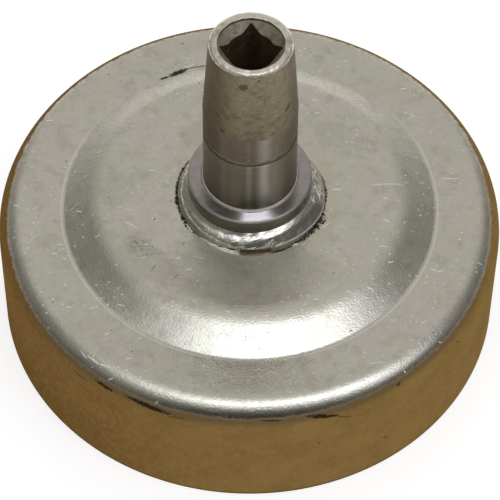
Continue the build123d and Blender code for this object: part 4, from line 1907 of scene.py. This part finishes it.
def hub_finishes(effects: Effects) -> dict[HubBand, bpy.types.Material]:
    """Finish of each band of the hub.

    Args:
        effects: Shared effects.

    Returns:
        Material by band.
    """
    spots = (
        Smear(-1.15, 60.96, 0.85, 0.75, 10.0, 0.7, 0.6),
        Smear(6.4, 53.48, 0.8, 0.36, 22.0, 0.8, 0.8),
        Smear(-4.34, 49.92, 0.6, 0.26, -25.0, 0.7),
        Smear(-5.3, 52.6, 0.5, 0.3, -10.0, 0.6, 0.8),
        Smear(1.3, 62.3, 0.3, 0.24, 0.0, 0.8),
        Smear(1.7, 52.0, 0.26, 0.2, 0.0, 0.6),
    )
    # Painted reflections on the seat and the land.
    seat_reflections = (PaintedStreak(-0.15, 0.72, 0.20), PaintedStreak(2.05, 1.35, 0.40), PaintedStreak(-4.2, 0.90, 0.06))
    land_reflections = (PaintedStreak(2.05, 1.71, 0.26), PaintedStreak(-0.2, 0.63, 0.06), PaintedStreak(-4.2, 1.44, 0.06))
    brown = (0.115, 0.095, 0.058)
    finishes = {
        HubBand.TURNED: TurnedSteel(
            "turned_spigot", clean=(0.42, 0.385, 0.36), stained=(0.24, 0.21, 0.185), stain=0.3, rough=0.36,
            line_pitch=0.14, line_run=12.0, line_depth=0.0006, line_tint=0.08, anisotropy=0.8,
        ),
        HubBand.SHOULDER: TurnedSteel(
            "turned_shoulder", clean=(0.45, 0.41, 0.39), stained=(0.26, 0.23, 0.21), stain=0.25, rough=0.26,
            line_pitch=0.14, line_run=12.0, line_depth=0.0006, line_tint=0.10, anisotropy=0.4,
            lean=27.0, lean_span=(-10.0, 25.0),
        ),
        HubBand.COLLAR: TurnedSteel(
            "collar_side", clean=(0.17, 0.155, 0.122), stained=brown, stain=0.3, rough=0.3,
            line_pitch=0.12, line_run=12.0, line_depth=0.0006, line_tint=0.08, anisotropy=0.6,
        ),
        # Painted highlight: bright and partly non-metallic, so that the fillet's band stays bright.
        HubBand.FILLET: TurnedSteel(
            "seat_fillet", clean=(0.86, 0.81, 0.70), stained=(0.5, 0.45, 0.35), stain=0.3, rough=0.42,
            line_pitch=0.2, line_run=6.0, line_depth=0.001, line_tint=0.05, metallic=0.7,
        ),
        HubBand.GROUND: TurnedSteel(
            "ground_seat", clean=(0.205, 0.183, 0.135), stained=brown, stain=0.2, rough=0.28,
            line_pitch=0.08, line_run=14.0, line_depth=0.0004, line_tint=0.06, anisotropy=0.9,
            tarnish=0.3, rubs=seat_reflections,
        ),
        HubBand.GROOVE: TurnedSteel(
            "groove", clean=(0.30, 0.255, 0.18), stained=(0.12, 0.10, 0.065), stain=0.5, rough=0.5,
            line_pitch=0.2, line_run=6.0, line_depth=0.001, line_tint=0.1, metallic=0.7,
        ),
        HubBand.LAND: TurnedSteel(
            "plain_land", clean=(0.193, 0.158, 0.112), stained=brown, stain=0.35, rough=0.32,
            line_pitch=0.10, line_run=9.0, line_depth=0.0006, line_tint=0.10, anisotropy=0.8,
            tarnish=0.75, rubs=land_reflections,
        ),
        HubBand.NOSE: TurnedSteel(
            "rough_nose", clean=(0.238, 0.203, 0.127), stained=brown, stain=0.55, rough=0.42,
            line_pitch=0.20, line_run=0.8, line_depth=0.005, line_tint=0.20, pit_depth=0.036, pit_size=0.26,
            tarnish=0.8, marks=spots,
        ),
        HubBand.TIP: TurnedSteel(
            "tip_face", clean=(0.86, 0.80, 0.66), stained=(0.38, 0.33, 0.23), stain=0.6, rough=0.3,
            line_pitch=0.4, line_run=0.8, line_depth=0.004, line_tint=0.12, pit_depth=0.06, pit_size=0.4,
            metallic=0.85, lean=12.0,
        ),
        HubBand.SOCKET: TurnedSteel(
            "socket_cone", clean=(0.47, 0.43, 0.31), stained=(0.15, 0.13, 0.08), stain=0.65, rough=0.42,
            line_pitch=0.5, line_run=1.0, line_depth=0.004, line_tint=0.15, pit_depth=0.04, pit_size=0.5,
            metallic=0.75,
        ),
        HubBand.BORE: TurnedSteel(
            "socket_bore", clean=(0.13, 0.078, 0.045), stained=(0.05, 0.030, 0.017), stain=0.5, rough=0.5,
            line_pitch=0.5, line_run=1.0, line_depth=0.004, line_tint=0.10, pit_depth=0.01, pit_size=0.5,
            metallic=0.2,
        ),
    }
    return {band: finish.build(effects) for band, finish in finishes.items()}


def mount(name: str) -> dict[str, Any]:
    """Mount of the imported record, by name."""
    return next(entry for entry in frame["record"]["mounts"] if entry["name"] == name)


def main() -> None:
    """Builds the scene: viewpoint, studio, cup, hub and weld."""
    logging.basicConfig(level=logging.INFO, format="%(name)s: %(message)s")
    Viewpoint().place()
    Studio().build()
    effects = Effects()
    _, cup_high = (np.array(corner) * PER_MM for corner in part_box("drum_cup"))
    hub_low, hub_high = (np.array(corner) * PER_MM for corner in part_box("hub_shaft"))
    cup = DrumCup(
        outer_radius=float(cup_high[0]),
        bore_radius=mount("friction_bore")["dims"]["r_mm"],
        panel_top=float(cup_high[2]),
    )
    hub = HubShaft(
        seat_radius=mount("bearing_seat")["dims"]["r_mm"],
        shoulder=mount("bearing_shoulder")["pos_m"][2] * PER_MM,
        tip=float(hub_high[2]),
        panel_top=float(cup_high[2]),
        spigot_end=float(hub_low[2]),
    )
    weld = WeldBead(base=cup.panel_top, collar_radius=hub.collar_radius)
    sheet = PlatedSheet(cup.outer_radius, cup.ledge_height, cup.bend_radius)
    pieces = [
        cup.build(sheet.build(effects)),
        hub.build(hub_finishes(effects)),
        weld.build(WeldMetal().build(effects)),
    ]
    for piece in pieces:
        log.info("%s: %d triangles", piece.name, len(piece.data.polygons))


if __name__ == "__main__":
    main()
